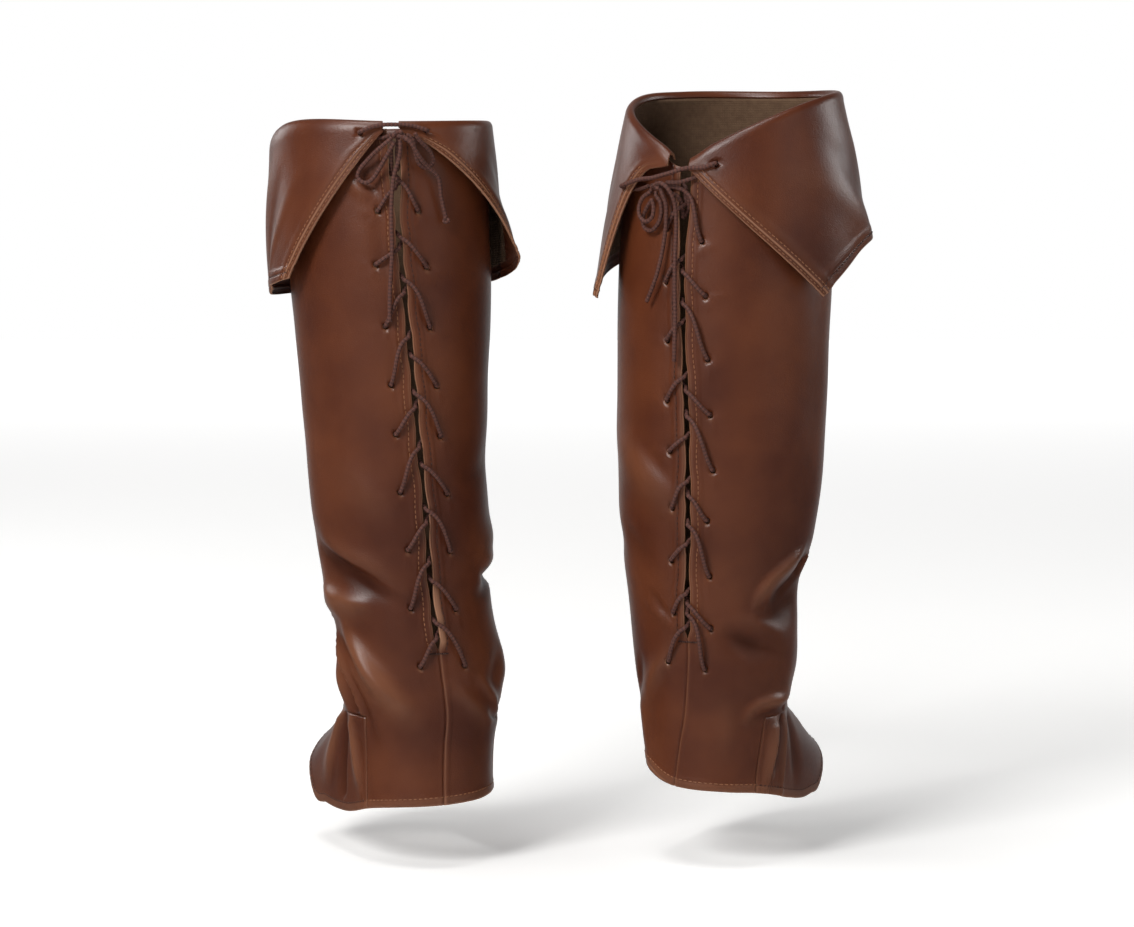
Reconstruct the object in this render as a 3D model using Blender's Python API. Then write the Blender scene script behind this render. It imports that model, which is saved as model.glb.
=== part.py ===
"""Pair of faux-leather boot covers that lace up the back, worn, with turned-down cuffs.

Millimetres in every table, turned to metres when a mesh is made. +Z is up and the toes point roughly to +Y.
The origin lies midway between the two calves, just under the knot of each lace.
A place on a cover is an angle round it, in degrees from its centre back seam and growing towards +X behind,
and a height. Across is a distance along the cloth from that seam and lift is a distance off the shaft.
"""
from collections import namedtuple

import bmesh
import bpy
import numpy as np
from mathutils import Vector

MM = 0.001
CLOTH = 1.6            # faux leather with its backing and turned edges
SEAM_GAP = 0.3         # between two pieces that are sewn together
LACE_RADIUS = 1.5
HOLE_RADIUS = 2.4      # punched for the lace
HOLE_SIDES = 8
PUNCH_DEPTH = 8.0      # length of a hole's cutter, which passes through the cloth
KNOT_HALF = (5.2, 3.4, 3.4)    # half sizes of a knot: across, outwards, along the leg
TOP_ROLL = 5.0         # from the crest of the cuff's fold down to the shaft's top edge
ANKLE_SEAM = -372.0    # height of the seam between shaft and foot piece
SIDE_SEAM = 68.0       # angle of each seam down the side of the heel
LEG_RADIUS = 58.0      # typical radius, which turns angles into the lengths of folds
HEM_LEVEL = -430.0     # typical height of the bottom hem
SLIT_HALF = 2.2        # half of the gap between the laced edges
SLIT_TOP_HALF = 4.0    # the same at the top, where two strands lie side by side
SLIT_WIDE = 30.0       # height of that wider stretch, and of the one where it narrows
SLIT_CLOSING = 6.0     # height over which the gap closes above the sewn seam
LACE_OUT = 2.4         # centre of the lace above the cloth's outside
LACE_IN = -4.0         # centre of the lace where it runs inside
LACE_OVER_EDGE = 3.3   # from the seam's line to where a strand lies over the slit's edge
TIE_STEP = 4.0         # between two points of the lace round the cuff
BOW_STEP = 5.5         # between two points of a bow's loop or tail
CURVE_STEP = 0.4       # between the points that a smooth curve is first drawn with

Section = namedtuple("Section", "z x y half_width back front square toe seam")
Fold = namedtuple("Fold", "angle z tilt length above below height")
Edge = namedtuple("Edge", "angle z")
CuffLine = namedtuple("CuffLine", "fold hem sweep roll flare drop")
LaceRow = namedtuple("LaceRow", "left_hole left_out left_apex right_hole right_out right_apex")
Stop = namedtuple("Stop", "across lift z")
CuffHole = namedtuple("CuffHole", "fold drop")
Cover = namedtuple("Cover", "name sections folds top hem cuff slit_end rows tie_holes tie_inside_right "
                   "tie_across tie_inside_left lace_ends knot loops tails")

LEFT = Cover(
    name="left",
    # centre and outline at each height; toe is the way the long end points, seam the way the slit faces
    sections=[
        Section(36, -122, 0, 67, 67, 72, 2.0, -5, 6),
        Section(-50, -121, 0, 68.5, 69, 72, 2.0, -8, 9),
        Section(-110, -118.5, 0, 66.5, 67, 70, 2.0, -10, 12),
        Section(-170, -117, 0, 62.5, 64, 67, 2.0, -12, 16),
        Section(-230, -114, 1, 61, 61, 65, 2.0, -14, 19),
        Section(-290, -109, 3, 56, 57, 63, 2.0, -18, 19),
        Section(-340, -101, 5, 54.5, 54, 62, 2.1, -22, 18),
        Section(-372, -98.5, 6, 52, 52, 70, 2.2, -24, 19),
        Section(-390, -99.5, 6, 49, 51, 93, 2.6, -26, 19),
        Section(-410, -100, 6, 48, 51, 122, 2.9, -28, 19),
        Section(-428, -100, 6, 48, 51, 143, 3.1, -28, 19),
        Section(-445, -100, 6, 48, 50, 149, 3.2, -28, 19),
    ],
    # soft ridges and troughs, each along its own tilted line
    folds=[
        Fold(-62, -268, -24, 36, 12, 8, -4.0),
        Fold(-75, -297, -8, 28, 9, 9, 4.5),
        Fold(-85, -322, -35, 25, 8, 8, -3.0),
        Fold(-47, -346, -49, 30, 9, 12, 4.0),
        Fold(-70, -358, -65, 24, 5, 5, -4.5),
        Fold(-97, -350, -70, 18, 12, 12, 6.0),
        Fold(70, -278, 20, 25, 6, 6, -5.0),
        Fold(72, -252, 10, 30, 12, 12, 3.0),
        Fold(80, -200, 0, 25, 22, 22, -2.5),
        Fold(70, -342, 0, 25, 22, 14, 4.0),
        Fold(72, -372, -30, 18, 5, 5, -2.5),
        Fold(176, -272, 8, 42, 10, 9, -4.0),
        Fold(165, -300, -6, 38, 9, 10, 4.0),
        Fold(192, -330, 10, 36, 9, 9, -4.0),
    ],
    top=[
        Edge(0, 31), Edge(90, 31), Edge(135, 28), Edge(180, 26), Edge(238, 25), Edge(266, 24), Edge(296, 31),
    ],
    hem=[
        Edge(0, -431), Edge(45, -429), Edge(90, -428), Edge(135, -434), Edge(172, -438), Edge(180, -435),
        Edge(185, -424), Edge(190, -411), Edge(198, -403), Edge(208, -400), Edge(218, -403), Edge(226, -411),
        Edge(231, -425), Edge(236, -440), Edge(248, -443), Edge(270, -443), Edge(315, -435),
    ],
    # lines down the cuff from its fold to its hem, from one back edge round the front to the other
    cuff=[
        CuffLine(3.4, 75, 0.68, 6.5, 22, 91),
        CuffLine(36, 88, 0.85, 6, 17, 101),
        CuffLine(86, 104, 1, 4.5, 12, 108),
        CuffLine(136, 142, 1, 6, 14, 112),
        CuffLine(186, 186, 1, 7, 15, 114),
        CuffLine(236, 228, 1, 9, 14, 112),
        CuffLine(271, 258, 1, 12, 14, 110),
        CuffLine(318, 280, 1, 9, 15, 110),
        CuffLine(354.6, 297, 0.9, 6.5, 14, 104),
    ],
    slit_end=-324.0,
    rows=[
        LaceRow(-28, 13, -15, -28, 14, -9),
        LaceRow(-63, 17, -54, -65, 17, -47),
        LaceRow(-104, 15, -84, -105, 15, -75),
        LaceRow(-143, 15, -113, -144, 16, -126),
        LaceRow(-176, 15, -160, -178, 16, -151),
        LaceRow(-215, 16, -187, -217, 17, -199),
        LaceRow(-254, 14, -238, -256, 16, -229),
        LaceRow(-294, 15, -265, -296, 17, -277),
        LaceRow(-334, 14, -317, -335, 18, -306),
    ],
    tie_holes=[CuffHole(17, 0.0), CuffHole(343, 0.0)],
    tie_inside_right=[Stop(6.4, 7.4, 18.8), Stop(10.5, 4.6, 17.2), Stop(15, 2.6, 18.4)],
    tie_across=[Stop(11, 8.4, 27.6), Stop(2, 8.2, 28.4), Stop(-10, 8.6, 27.6)],
    tie_inside_left=[Stop(-15, 2.5, 21.3), Stop(-10, 2.8, 20.2), Stop(-5, 4.2, 20.2),
                     Stop(-1.0, 6.3, 21.8)],
    lace_ends=[
        [Stop(2.4, 4.6, 18.6), Stop(2.2, 3.4, 15.4), Stop(1.95, 0.4, 11), Stop(1.95, -2.2, 6),
         Stop(2.2, -3.6, 0)],
        [Stop(-0.9, 5.3, 17.4), Stop(-1.6, 3.2, 15), Stop(-1.95, 0.4, 11), Stop(-1.95, -2.2, 5),
         Stop(-2.2, -3.6, -1)],
    ],
    knot=Stop(2.5, 10.4, 21.9),
    loops=[
        [Stop(-2.6, 10.2, 19.4), Stop(-10, 7.8, 12), Stop(-17, 5.8, 5), Stop(-21.8, 5, -0.6),
         Stop(-23.6, 4.8, -5.2), Stop(-21.4, 4.8, -8.6), Stop(-17.9, 4.8, -9.4), Stop(-14.4, 4.9, -7),
         Stop(-10.5, 5.4, -1.5), Stop(-5.5, 7.4, 7), Stop(0, 10, 17)],
        [Stop(8.4, 10.6, 21.2), Stop(11, 10.4, 16.6), Stop(12.4, 7.6, 8.4), Stop(15.9, 5.6, 1.7),
         Stop(20.6, 5, 0.1), Stop(24, 5.2, 3.7), Stop(22.5, 7, 9.2), Stop(17.8, 9.4, 14.3),
         Stop(13.4, 10.8, 19.2), Stop(11.8, 11, 22.6)],
    ],
    tails=[
        [Stop(3.4, 10.6, 17.2), Stop(2.5, 9.4, 8), Stop(-1, 7.6, -4), Stop(-3.5, 6.8, -20),
         Stop(-4.6, 6.6, -37), Stop(-5.6, 6.6, -54), Stop(-8, 6.4, -71), Stop(-10.2, 6.2, -87),
         Stop(-11.5, 6, -100)],
        [Stop(6.4, 13.6, 19.6), Stop(8, 15, 17), Stop(10.8, 14.6, 11.6), Stop(14, 12.8, 6.2),
         Stop(19, 9.8, 0.5), Stop(25.5, 8.4, -6), Stop(28, 5.8, -18), Stop(31, 5, -33)],
    ],
)

RIGHT = Cover(
    name="right",
    sections=[
        Section(56, 114, 0, 67, 64, 70, 2.0, 5, -28),
        Section(0, 110, 0, 70.5, 66, 70, 2.0, 6, -28),
        Section(-90, 107, 0, 72.3, 67, 70, 2.0, 8, -27),
        Section(-150, 105.8, 0, 71.5, 66, 69, 2.0, 10, -24),
        Section(-210, 104.5, 0, 69.8, 64, 68, 2.0, 12, -22),
        Section(-250, 102.5, 1, 66, 61, 66, 2.0, 14, -21),
        Section(-290, 100.5, 3, 58.5, 57, 64, 2.0, 16, -20.5),
        Section(-340, 102, 5, 55, 54, 62, 2.1, 18, -23),
        Section(-372, 101, 6, 48.5, 52, 66, 2.2, 20, -25.5),
        Section(-390, 102, 6, 48, 51, 92, 2.6, 22, -31),
        Section(-410, 103, 6, 47, 50, 124, 2.9, 25, -36),
        Section(-428, 103.5, 6, 47, 50, 142, 3.1, 25, -38),
        Section(-445, 103.5, 6, 47, 50, 147, 3.2, 25, -39),
    ],
    folds=[
        Fold(76, -275, 27, 30, 14, 6, 3.0),
        Fold(85, -293, 25, 28, 9, 14, -6.0),
        Fold(42, -322, -30, 20, 7, 7, -2.0),
        Fold(88, -361, 0, 22, 8, 5, 3.0),
        Fold(-38, -203, -42, 40, 12, 12, 2.0),
        Fold(-48, -375, -70, 30, 9, 9, 2.5),
        Fold(-80, -250, -15, 30, 12, 12, -2.0),
        Fold(182, -268, -8, 42, 10, 9, -4.0),
        Fold(195, -298, 6, 38, 9, 10, 4.0),
        Fold(170, -328, -10, 36, 9, 9, -4.0),
    ],
    top=[
        Edge(0, 6), Edge(15, 16), Edge(30, 25), Edge(60, 40), Edge(90, 49), Edge(125, 52), Edge(180, 52),
        Edge(235, 52), Edge(270, 49), Edge(300, 40), Edge(330, 25), Edge(345, 16),
    ],
    hem=[
        Edge(0, -421), Edge(30, -423), Edge(60, -428), Edge(90, -434), Edge(118, -438), Edge(127, -436),
        Edge(132, -425), Edge(137, -410), Edge(145, -400), Edge(155, -396), Edge(165, -400), Edge(173, -409),
        Edge(178, -420), Edge(183, -429), Edge(205, -427), Edge(230, -420), Edge(270, -406), Edge(320, -418),
    ],
    cuff=[
        CuffLine(3.4, 77, 1, 6.5, 13, 92),
        CuffLine(45, 101, 1, 6, 18, 93),
        CuffLine(96, 121, 1, 6, 27, 98),
        CuffLine(136, 146, 1, 6, 22, 104),
        CuffLine(186, 190, 1, 6, 18, 108),
        CuffLine(236, 238, 1, 6, 16, 110),
        CuffLine(281, 274, 1, 5, 15, 118),
        CuffLine(322, 299, 0.5, 5.5, 17, 115),
        CuffLine(352, 316, 0.3, 8, 22, 97),
    ],
    slit_end=-316.0,
    rows=[
        LaceRow(-40, 12, -27, -48, 13, -17),
        LaceRow(-75, 12, -62, -84, 16, -70),
        LaceRow(-114, 12, -104, -126, 16, -91),
        LaceRow(-154, 14, -140, -163, 16, -149),
        LaceRow(-188, 13, -180, -200, 17, -166),
        LaceRow(-226, 11, -210, -234, 13, -219),
        LaceRow(-262, 12, -252, -272, 15, -239),
        LaceRow(-298, 10, -286, -308, 16, -293),
        LaceRow(-332, 14, -309, -336, 12, -300),
    ],
    tie_holes=[CuffHole(14, 0.06), CuffHole(345, 0.22)],
    tie_inside_right=[Stop(-10.2, 6.6, -9.6), Stop(-3, 5.8, -9.5), Stop(5, 3.4, -7), Stop(11, 2.6, -4)],
    tie_across=[Stop(13.6, 9.2, 0.3), Stop(4, 9.4, -0.2), Stop(-7.5, 10.2, -3.9), Stop(-17.5, 11.4, -7),
                Stop(-26, 12.2, -8.2), Stop(-32.7, 12.9, -10.3), Stop(-37.3, 14.2, -12.2)],
    tie_inside_left=[Stop(-34.2, 5.4, -14.4), Stop(-28, 6, -13.6), Stop(-22.2, 7.4, -12.2)],
    lace_ends=[
        [Stop(-9.6, 2.6, -12.4), Stop(-5, 2.3, -12.8), Stop(0.2, 1.4, -15), Stop(1.95, -1.2, -20),
         Stop(2.2, -3.4, -26)],
        [Stop(-11, 2.6, -16.2), Stop(-6.5, 2.4, -17), Stop(-3.4, 2.1, -19), Stop(-1.95, -0.6, -23),
         Stop(-1.95, -2.4, -27), Stop(-2.2, -3.6, -32)],
    ],
    knot=Stop(-16, 8, -12),
    loops=[
        [Stop(-20.4, 8.6, -15.2), Stop(-25, 8.8, -19.6), Stop(-28, 8.8, -26), Stop(-27.2, 8.8, -32),
         Stop(-22.4, 8.8, -35.6), Stop(-17.8, 8.8, -32.6), Stop(-16.8, 9, -26.5), Stop(-18, 9.8, -20.6)],
        [Stop(-16, 8.4, -16.1), Stop(-13.2, 7.4, -22.5), Stop(-13, 5.8, -29.1), Stop(-15.6, 5, -36.6),
         Stop(-20.9, 5, -41.4), Stop(-26.3, 5, -39.5), Stop(-28, 5, -33.6), Stop(-25.4, 5, -27),
         Stop(-21.5, 4.8, -21.3)],
    ],
    tails=[
        [Stop(-10.6, 9.6, -15.6), Stop(-9, 8.4, -23.2), Stop(-8.7, 7.2, -32.9), Stop(-9.4, 6.6, -42.8),
         Stop(-11, 6.4, -54), Stop(-14, 6.4, -67.2), Stop(-18.3, 6, -78.6), Stop(-23.7, 5, -88.4)],
        [Stop(-11.8, 11.2, -10.8), Stop(-9.8, 14.2, -10.4), Stop(-6, 14.6, -12.8), Stop(-3.4, 13, -17.5),
         Stop(-2, 11, -23), Stop(-1.5, 9.4, -30), Stop(-1.5, 8, -38), Stop(-2.1, 7.2, -56.4),
         Stop(-2.3, 7, -76.8), Stop(-2.3, 7, -99.8), Stop(-3.4, 7, -116.3), Stop(-4.3, 6.8, -127)],
    ],
)


def along(rows, column, at):
    """One column of a table as a smooth curve, read at one or many places of its key column."""
    ordered = sorted(rows, key=lambda row: row[0])
    keys = np.array([row[0] for row in ordered], dtype=float)
    values = np.array([getattr(row, column) for row in ordered], dtype=float)
    slopes = np.gradient(values, keys)
    place = np.clip(at, keys[0], keys[-1])
    first = np.clip(np.searchsorted(keys, place) - 1, 0, len(keys) - 2)
    width = keys[first + 1] - keys[first]
    t = (place - keys[first]) / width
    rise = values[first + 1] - values[first]
    start = slopes[first] * width
    end = slopes[first + 1] * width
    return values[first] + t * (start + t * (3 * rise - 2 * start - end + t * (start + end - 2 * rise)))


def around(edges, angle):
    """Height of an edge that runs right round a cover, at an angle in degrees."""
    rows = [edge._replace(angle=edge.angle + turn) for turn in (-360, 0, 360) for edge in edges]
    return along(rows, "z", np.mod(angle, 360))


def fold_height(cover, angle, z):
    """How far the folds push the cloth out, less how far they let it fall in."""
    total = np.zeros(np.broadcast(angle, z).shape)
    for fold in cover.folds:
        arc = np.radians(np.mod(angle - fold.angle + 180, 360) - 180) * LEG_RADIUS
        up = z - fold.z
        tilt = np.radians(fold.tilt)
        lengthwise = arc * np.cos(tilt) + up * np.sin(tilt)
        crosswise = up * np.cos(tilt) - arc * np.sin(tilt)
        width = np.where(crosswise > 0, fold.above, fold.below)
        total += fold.height * np.exp(-(lengthwise / fold.length) ** 2 - (crosswise / width) ** 2)
    return total


def seam_azimuth(cover, z):
    """Direction of the centre back seam, in degrees from -Y towards +X."""
    return along(cover.sections, "seam", z)


def surface(cover, angle, z, spread=0.0):
    """Points on the outside of the cloth, with the section widened by spread."""
    angle, z, spread = np.broadcast_arrays(np.asarray(angle, float), np.asarray(z, float), spread)
    size = {name: along(cover.sections, name, z) for name in Section._fields[1:]}
    azimuth = np.radians(angle + size["seam"])
    from_toe = azimuth - np.radians(180 - size["toe"])
    lengthwise, crosswise = np.cos(from_toe), np.sin(from_toe)
    reach = np.where(lengthwise > 0, size["front"], size["back"])
    power = np.where(lengthwise > 0, size["square"], 2.0)
    outline = np.abs(lengthwise / reach) ** power + np.abs(crosswise / size["half_width"]) ** power
    radius = outline ** (-1 / power) + fold_height(cover, angle, z) + spread
    return np.stack([size["x"] + radius * np.sin(azimuth), size["y"] - radius * np.cos(azimuth), z], axis=-1)


def lifted(cover, angle, z, lift):
    """Points a distance off the outside of the cloth, outwards where it is positive."""
    across = surface(cover, angle + 0.5, z) - surface(cover, angle - 0.5, z)
    upwards = surface(cover, angle, z + 1) - surface(cover, angle, z - 1)
    normal = np.cross(across, upwards)
    normal /= np.linalg.norm(normal, axis=-1, keepdims=True)
    return surface(cover, angle, z) + normal * np.asarray(lift, float)[..., None]


def inside(cover, angle, z):
    """Points straight inwards from the outside, so far that the wall is as thick as the cloth."""
    out = surface(cover, angle, z)
    step = lifted(cover, angle, z, 1.0) - out
    steepest = 0.4
    level = np.clip(np.hypot(step[..., 0], step[..., 1]), steepest, 1.0)
    return surface(cover, angle, z, -CLOTH / level)


def angle_at(cover, across, z):
    """Angle of a place given by its distance from the centre back seam along the cloth."""
    return np.degrees(across / along(cover.sections, "back", z))


def stops_to_points(cover, stops):
    """World points of a strand from its stops: distance across from the seam, lift off the shaft, height."""
    across, lift, z = np.array(stops, dtype=float).T
    return lifted(cover, angle_at(cover, across, z), z, lift)


def slit_half(cover, z):
    """Half of the gap at the centre back, nothing where the seam is sewn."""
    top = float(around(cover.top, 0)) - TOP_ROLL
    widening = np.clip((z - top + 2 * SLIT_WIDE) / SLIT_WIDE, 0, 1)
    half = SLIT_HALF + (SLIT_TOP_HALF - SLIT_HALF) * widening
    closing = np.clip((z - cover.slit_end) / SLIT_CLOSING, 0, 1)
    return half * closing


def new_material(name, colour, roughness):
    """A plain material of one colour."""
    material = bpy.data.materials.new(name)
    material.use_nodes = True
    shader = material.node_tree.nodes["Principled BSDF"]
    shader.inputs["Base Color"].default_value = (*colour, 1.0)
    shader.inputs["Roughness"].default_value = roughness
    shader.inputs["Metallic"].default_value = 0.0
    material.diffuse_color = (*colour, 1.0)
    return material


def faux_leather(name):
    """Brown polyurethane face on a woven backing."""
    return new_material(name, (0.105, 0.038, 0.021), 0.42)


def braided_lace(name):
    """Dark brown round braid."""
    return new_material(name, (0.055, 0.028, 0.024), 0.8)


def new_object(name, data, material=None):
    """Puts a mesh or curve into the scene."""
    made = bpy.data.objects.new(name, data)
    bpy.context.scene.collection.objects.link(made)
    if material:
        data.materials.append(material)
    return made


def make_wall(name, front, back, keep=None):
    """A closed wall between two grids of points in mm, the front one being what shows."""
    bm = bmesh.new()
    places = {}

    def vert_at(point):
        key = tuple(np.round(point, 2))
        if key not in places:
            places[key] = bm.verts.new(Vector(point) * MM)
        return places[key]

    layers = [[[vert_at(point) for point in row] for row in grid] for grid in (front, back)]
    for i in range(len(front) - 1):
        for j in range(len(front[0]) - 1):
            if keep is None or keep(i, j):
                for layer in layers:
                    bm.faces.new((layer[i][j], layer[i + 1][j], layer[i + 1][j + 1], layer[i][j + 1]))
    across = {}
    for front_row, back_row in zip(*layers):
        across.update(zip(front_row, back_row))
    rims = [edge for edge in bm.edges if len(edge.link_faces) == 1 and edge.verts[0] in across]
    for edge in rims:
        start, end = edge.verts
        bm.faces.new((start, end, across[end], across[start]))
    bmesh.ops.delete(bm, geom=[vert for vert in bm.verts if not vert.link_faces], context="VERTS")
    bmesh.ops.recalc_face_normals(bm, faces=bm.faces)
    mesh = bpy.data.meshes.new(name)
    bm.to_mesh(mesh)
    bm.free()
    mesh.shade_smooth()
    return mesh


def punch(piece, name, places):
    """Cuts round holes at places given as a point in mm and the direction out of the cloth."""
    bm = bmesh.new()
    for point, outwards in places:
        turn = Vector(outwards).to_track_quat("Z", "Y").to_matrix().to_4x4()
        turn.translation = Vector(point) * MM
        bmesh.ops.create_cone(bm, cap_ends=True, segments=HOLE_SIDES, radius1=HOLE_RADIUS * MM,
                              radius2=HOLE_RADIUS * MM, depth=PUNCH_DEPTH * MM, matrix=turn)
    mesh = bpy.data.meshes.new(name)
    bm.to_mesh(mesh)
    bm.free()
    cutter = new_object(name, mesh)
    cutter.hide_render = True
    cutter.display_type = "WIRE"
    cut = piece.modifiers.new("holes", "BOOLEAN")
    cut.operation = "DIFFERENCE"
    cut.solver = "EXACT"
    cut.object = cutter


# angles and rows of each wall's grid
BACK_COLUMNS = [0, 9, 18, 28, 38, 48, 58, SIDE_SEAM]
FRONT_COLUMNS = list(np.linspace(SIDE_SEAM, 360 - SIDE_SEAM, 15))
TOE_COLUMNS = [
    SIDE_SEAM, 84, 101, 118, 134, 148, 158, 165, 171, 177, 184,
    190, 196, 203, 209, 215, 222, 232, 246, 262, 278, 360 - SIDE_SEAM,
]
SHAFT_COLUMNS = BACK_COLUMNS + FRONT_COLUMNS[1:-1] + [360 - angle for angle in reversed(BACK_COLUMNS)]
SLIT_ROWS = 13
SHIN_ROWS = 3
HEEL_ROWS = 4
INSTEP_ROWS = 5
CUFF_ARCH = [0.0, 0.25, 0.5, 0.75]             # shares of the way over the cuff's fold
CUFF_DROPS = [0.0, 0.1, 0.28, 0.5, 0.75, 1.0]  # shares of the way down its hanging side


def hem_height(cover, angle):
    """Height of the bottom hem, whose own table goes by direction and not by the seam."""
    return around(cover.hem, angle + seam_azimuth(cover, HEM_LEVEL))


def shaft_rows(cover, angle):
    """Heights of the shaft's rows at one angle, from its top edge to its hem."""
    top = float(around(cover.top, angle)) - TOP_ROLL
    hem = float(hem_height(cover, angle))
    return np.concatenate([
        np.linspace(top, cover.slit_end + SLIT_CLOSING, SLIT_ROWS),
        np.linspace(cover.slit_end, ANKLE_SEAM, SHIN_ROWS + 1),
        np.linspace(ANKLE_SEAM, hem, HEEL_ROWS + 1)[1:],
    ])


def make_shaft(cover):
    """The panel round the leg, open in a slit at the back and cut away over the instep."""
    heights = np.stack([shaft_rows(cover, angle) for angle in SHAFT_COLUMNS], axis=1)
    angles = np.broadcast_to(np.array(SHAFT_COLUMNS, float), heights.shape).copy()
    angles[:, 0] = angle_at(cover, slit_half(cover, heights[:, 0]), heights[:, 0])
    angles[:, -1] = 360 - angle_at(cover, slit_half(cover, heights[:, -1]), heights[:, -1])
    ankle_row = SLIT_ROWS + SHIN_ROWS

    def covered(i, j):
        in_front = SHAFT_COLUMNS[j] >= SIDE_SEAM and SHAFT_COLUMNS[j + 1] <= 360 - SIDE_SEAM
        return i < ankle_row or not in_front

    outer = surface(cover, angles, heights)
    mesh = make_wall(cover.name + "_shaft", outer, inside(cover, angles, heights), covered)
    shaft = new_object(cover.name + "_shaft", mesh, faux_leather(cover.name + "_shaft"))
    punch(shaft, cover.name + "_shaft_holes", lace_holes(cover))


def make_foot_piece(cover):
    """The panel over the instep, sewn to the shaft behind and above."""
    angles = np.array(TOE_COLUMNS, float)
    sewn = angle_at(cover, SEAM_GAP, ANKLE_SEAM)
    angles[0] += sewn
    angles[-1] -= sewn
    hems = hem_height(cover, angles)
    heights = np.linspace(np.full_like(hems, ANKLE_SEAM - SEAM_GAP), hems, INSTEP_ROWS + 1)
    angles = np.broadcast_to(angles, heights.shape)
    outer = surface(cover, angles, heights)
    mesh = make_wall(cover.name + "_foot_piece", outer, inside(cover, angles, heights))
    new_object(cover.name + "_foot_piece", mesh, faux_leather(cover.name + "_foot_piece"))


def cuff_point(cover, fold, drop_share, roll_share=1.0):
    """Visible side of the cuff: over the fold while roll_share grows to 1, then down as drop_share does."""
    line = {name: along(cover.cuff, name, fold) for name in CuffLine._fields[1:]}
    arch = np.pi * np.asarray(roll_share, float)
    outer_side = np.maximum(TOP_ROLL, 1.1 * line["roll"])
    height = np.where(arch < np.pi / 2, TOP_ROLL, outer_side)
    half_arch = (line["roll"] + CLOTH) / 2
    share = np.clip(drop_share, 0.0, None)
    spread = line["roll"] - half_arch * (1 + np.cos(arch)) + (line["flare"] - line["roll"]) * share
    crest = around(cover.top, fold)
    z = crest - height * (1 - np.sin(arch)) - (line["drop"] - outer_side) * share
    angle = fold + (line["hem"] - fold) * share ** line["sweep"]
    return cuff_surface(cover, angle, z, spread)


def cuff_surface(cover, angle, z, spread):
    """The leg's plain outline, widened and without the shaft's folds."""
    smooth_leg = cover._replace(folds=[])
    return surface(smooth_leg, angle, z, spread)


def cuff_outwards(cover, fold, drop_share, roll_share):
    """Direction out of the cuff's visible side."""
    nudge = 0.01
    after, before = [cuff_point(cover, fold + turn, drop_share, roll_share) for turn in (0.5, -0.5)]
    sideways = after - before
    over = cuff_point(cover, fold, drop_share, roll_share + nudge)
    over -= cuff_point(cover, fold, drop_share, roll_share - nudge)
    down = cuff_point(cover, fold, drop_share + nudge)
    down -= cuff_point(cover, fold, drop_share - nudge)
    onwards = np.where(np.asarray(roll_share)[..., None] < 1, over, down)
    outwards = np.cross(onwards, sideways)
    return outwards / np.linalg.norm(outwards, axis=-1, keepdims=True)


def make_cuff(cover):
    """The flared band, turned over the shaft's top edge and hanging down."""
    folds = np.array(SHAFT_COLUMNS, float)
    folds[0], folds[-1] = cover.cuff[0].fold, cover.cuff[-1].fold
    rolls = np.array(CUFF_ARCH + [1.0] * len(CUFF_DROPS))
    drops = np.array([0.0] * len(CUFF_ARCH) + CUFF_DROPS)
    grid = np.broadcast_arrays(folds[None, :], drops[:, None], rolls[:, None])
    front = cuff_point(cover, *grid)
    back = front - CLOTH * cuff_outwards(cover, *grid)
    front[0, :, 2] += SEAM_GAP
    back[0, :, 2] = front[0, :, 2]
    mesh = make_wall(cover.name + "_cuff", front, back)
    cuff = new_object(cover.name + "_cuff", mesh, faux_leather(cover.name + "_cuff"))
    punch(cuff, cover.name + "_cuff_holes", [cuff_hole_axis(cover, hole) for hole in cover.tie_holes])


def lace_holes(cover):
    """The punched holes of the nine lace rows, each as a point and the way out of the cloth."""
    places = []
    for row in cover.rows:
        for across, z in ((-row.left_out, row.left_hole), (row.right_out, row.right_hole)):
            angle = angle_at(cover, across, z)
            outside = lifted(cover, angle, z, 0.0)
            places.append((outside, lifted(cover, angle, z, 1.0) - outside))
    return places


def cuff_hole_axis(cover, hole):
    """A point on the cuff's visible side and the way out of it there."""
    return cuff_point(cover, hole.fold, hole.drop), cuff_outwards(cover, hole.fold, hole.drop, 1.0)


def slit_crossing(side, apex):
    """A strand from inside on the far side, out through the slit and over its edge on this side."""
    return [
        Stop(-side * 3.0, LACE_IN, apex + 6),
        Stop(-side * 0.5, -2.7, apex + 4),
        Stop(side * 0.5, 1.1, apex + 2),
        Stop(side * LACE_OVER_EDGE, LACE_OUT + 0.1, apex),
    ]


def hole_crossing(side, out, hole, start):
    """A strand that runs down to a hole over the cloth, goes in and leaves it inside."""
    step = np.array([side * out, hole]) - np.array(start)
    step /= np.linalg.norm(step)
    route = [(-4.0, LACE_OUT), (-0.4, 0.9), (-0.4, -3.0)]
    stops = [Stop(side * out + step[0] * run, lift, hole + step[1] * run) for run, lift in route]
    return stops + [Stop(side * (out - 4.5), LACE_IN, hole - 3.0)]


def laced_strand(cover, first_side):
    """One end of the lace on its way down the back: it changes sides at every row."""
    stops = []
    side = first_side
    for row in cover.rows:
        if side < 0:
            out, hole, apex = row.left_out, row.left_hole, row.left_apex
        else:
            out, hole, apex = row.right_out, row.right_hole, row.right_apex
        stops += slit_crossing(side, apex)
        stops += hole_crossing(side, out, hole, (side * LACE_OVER_EDGE, apex))
        side = -side
    return stops


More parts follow.
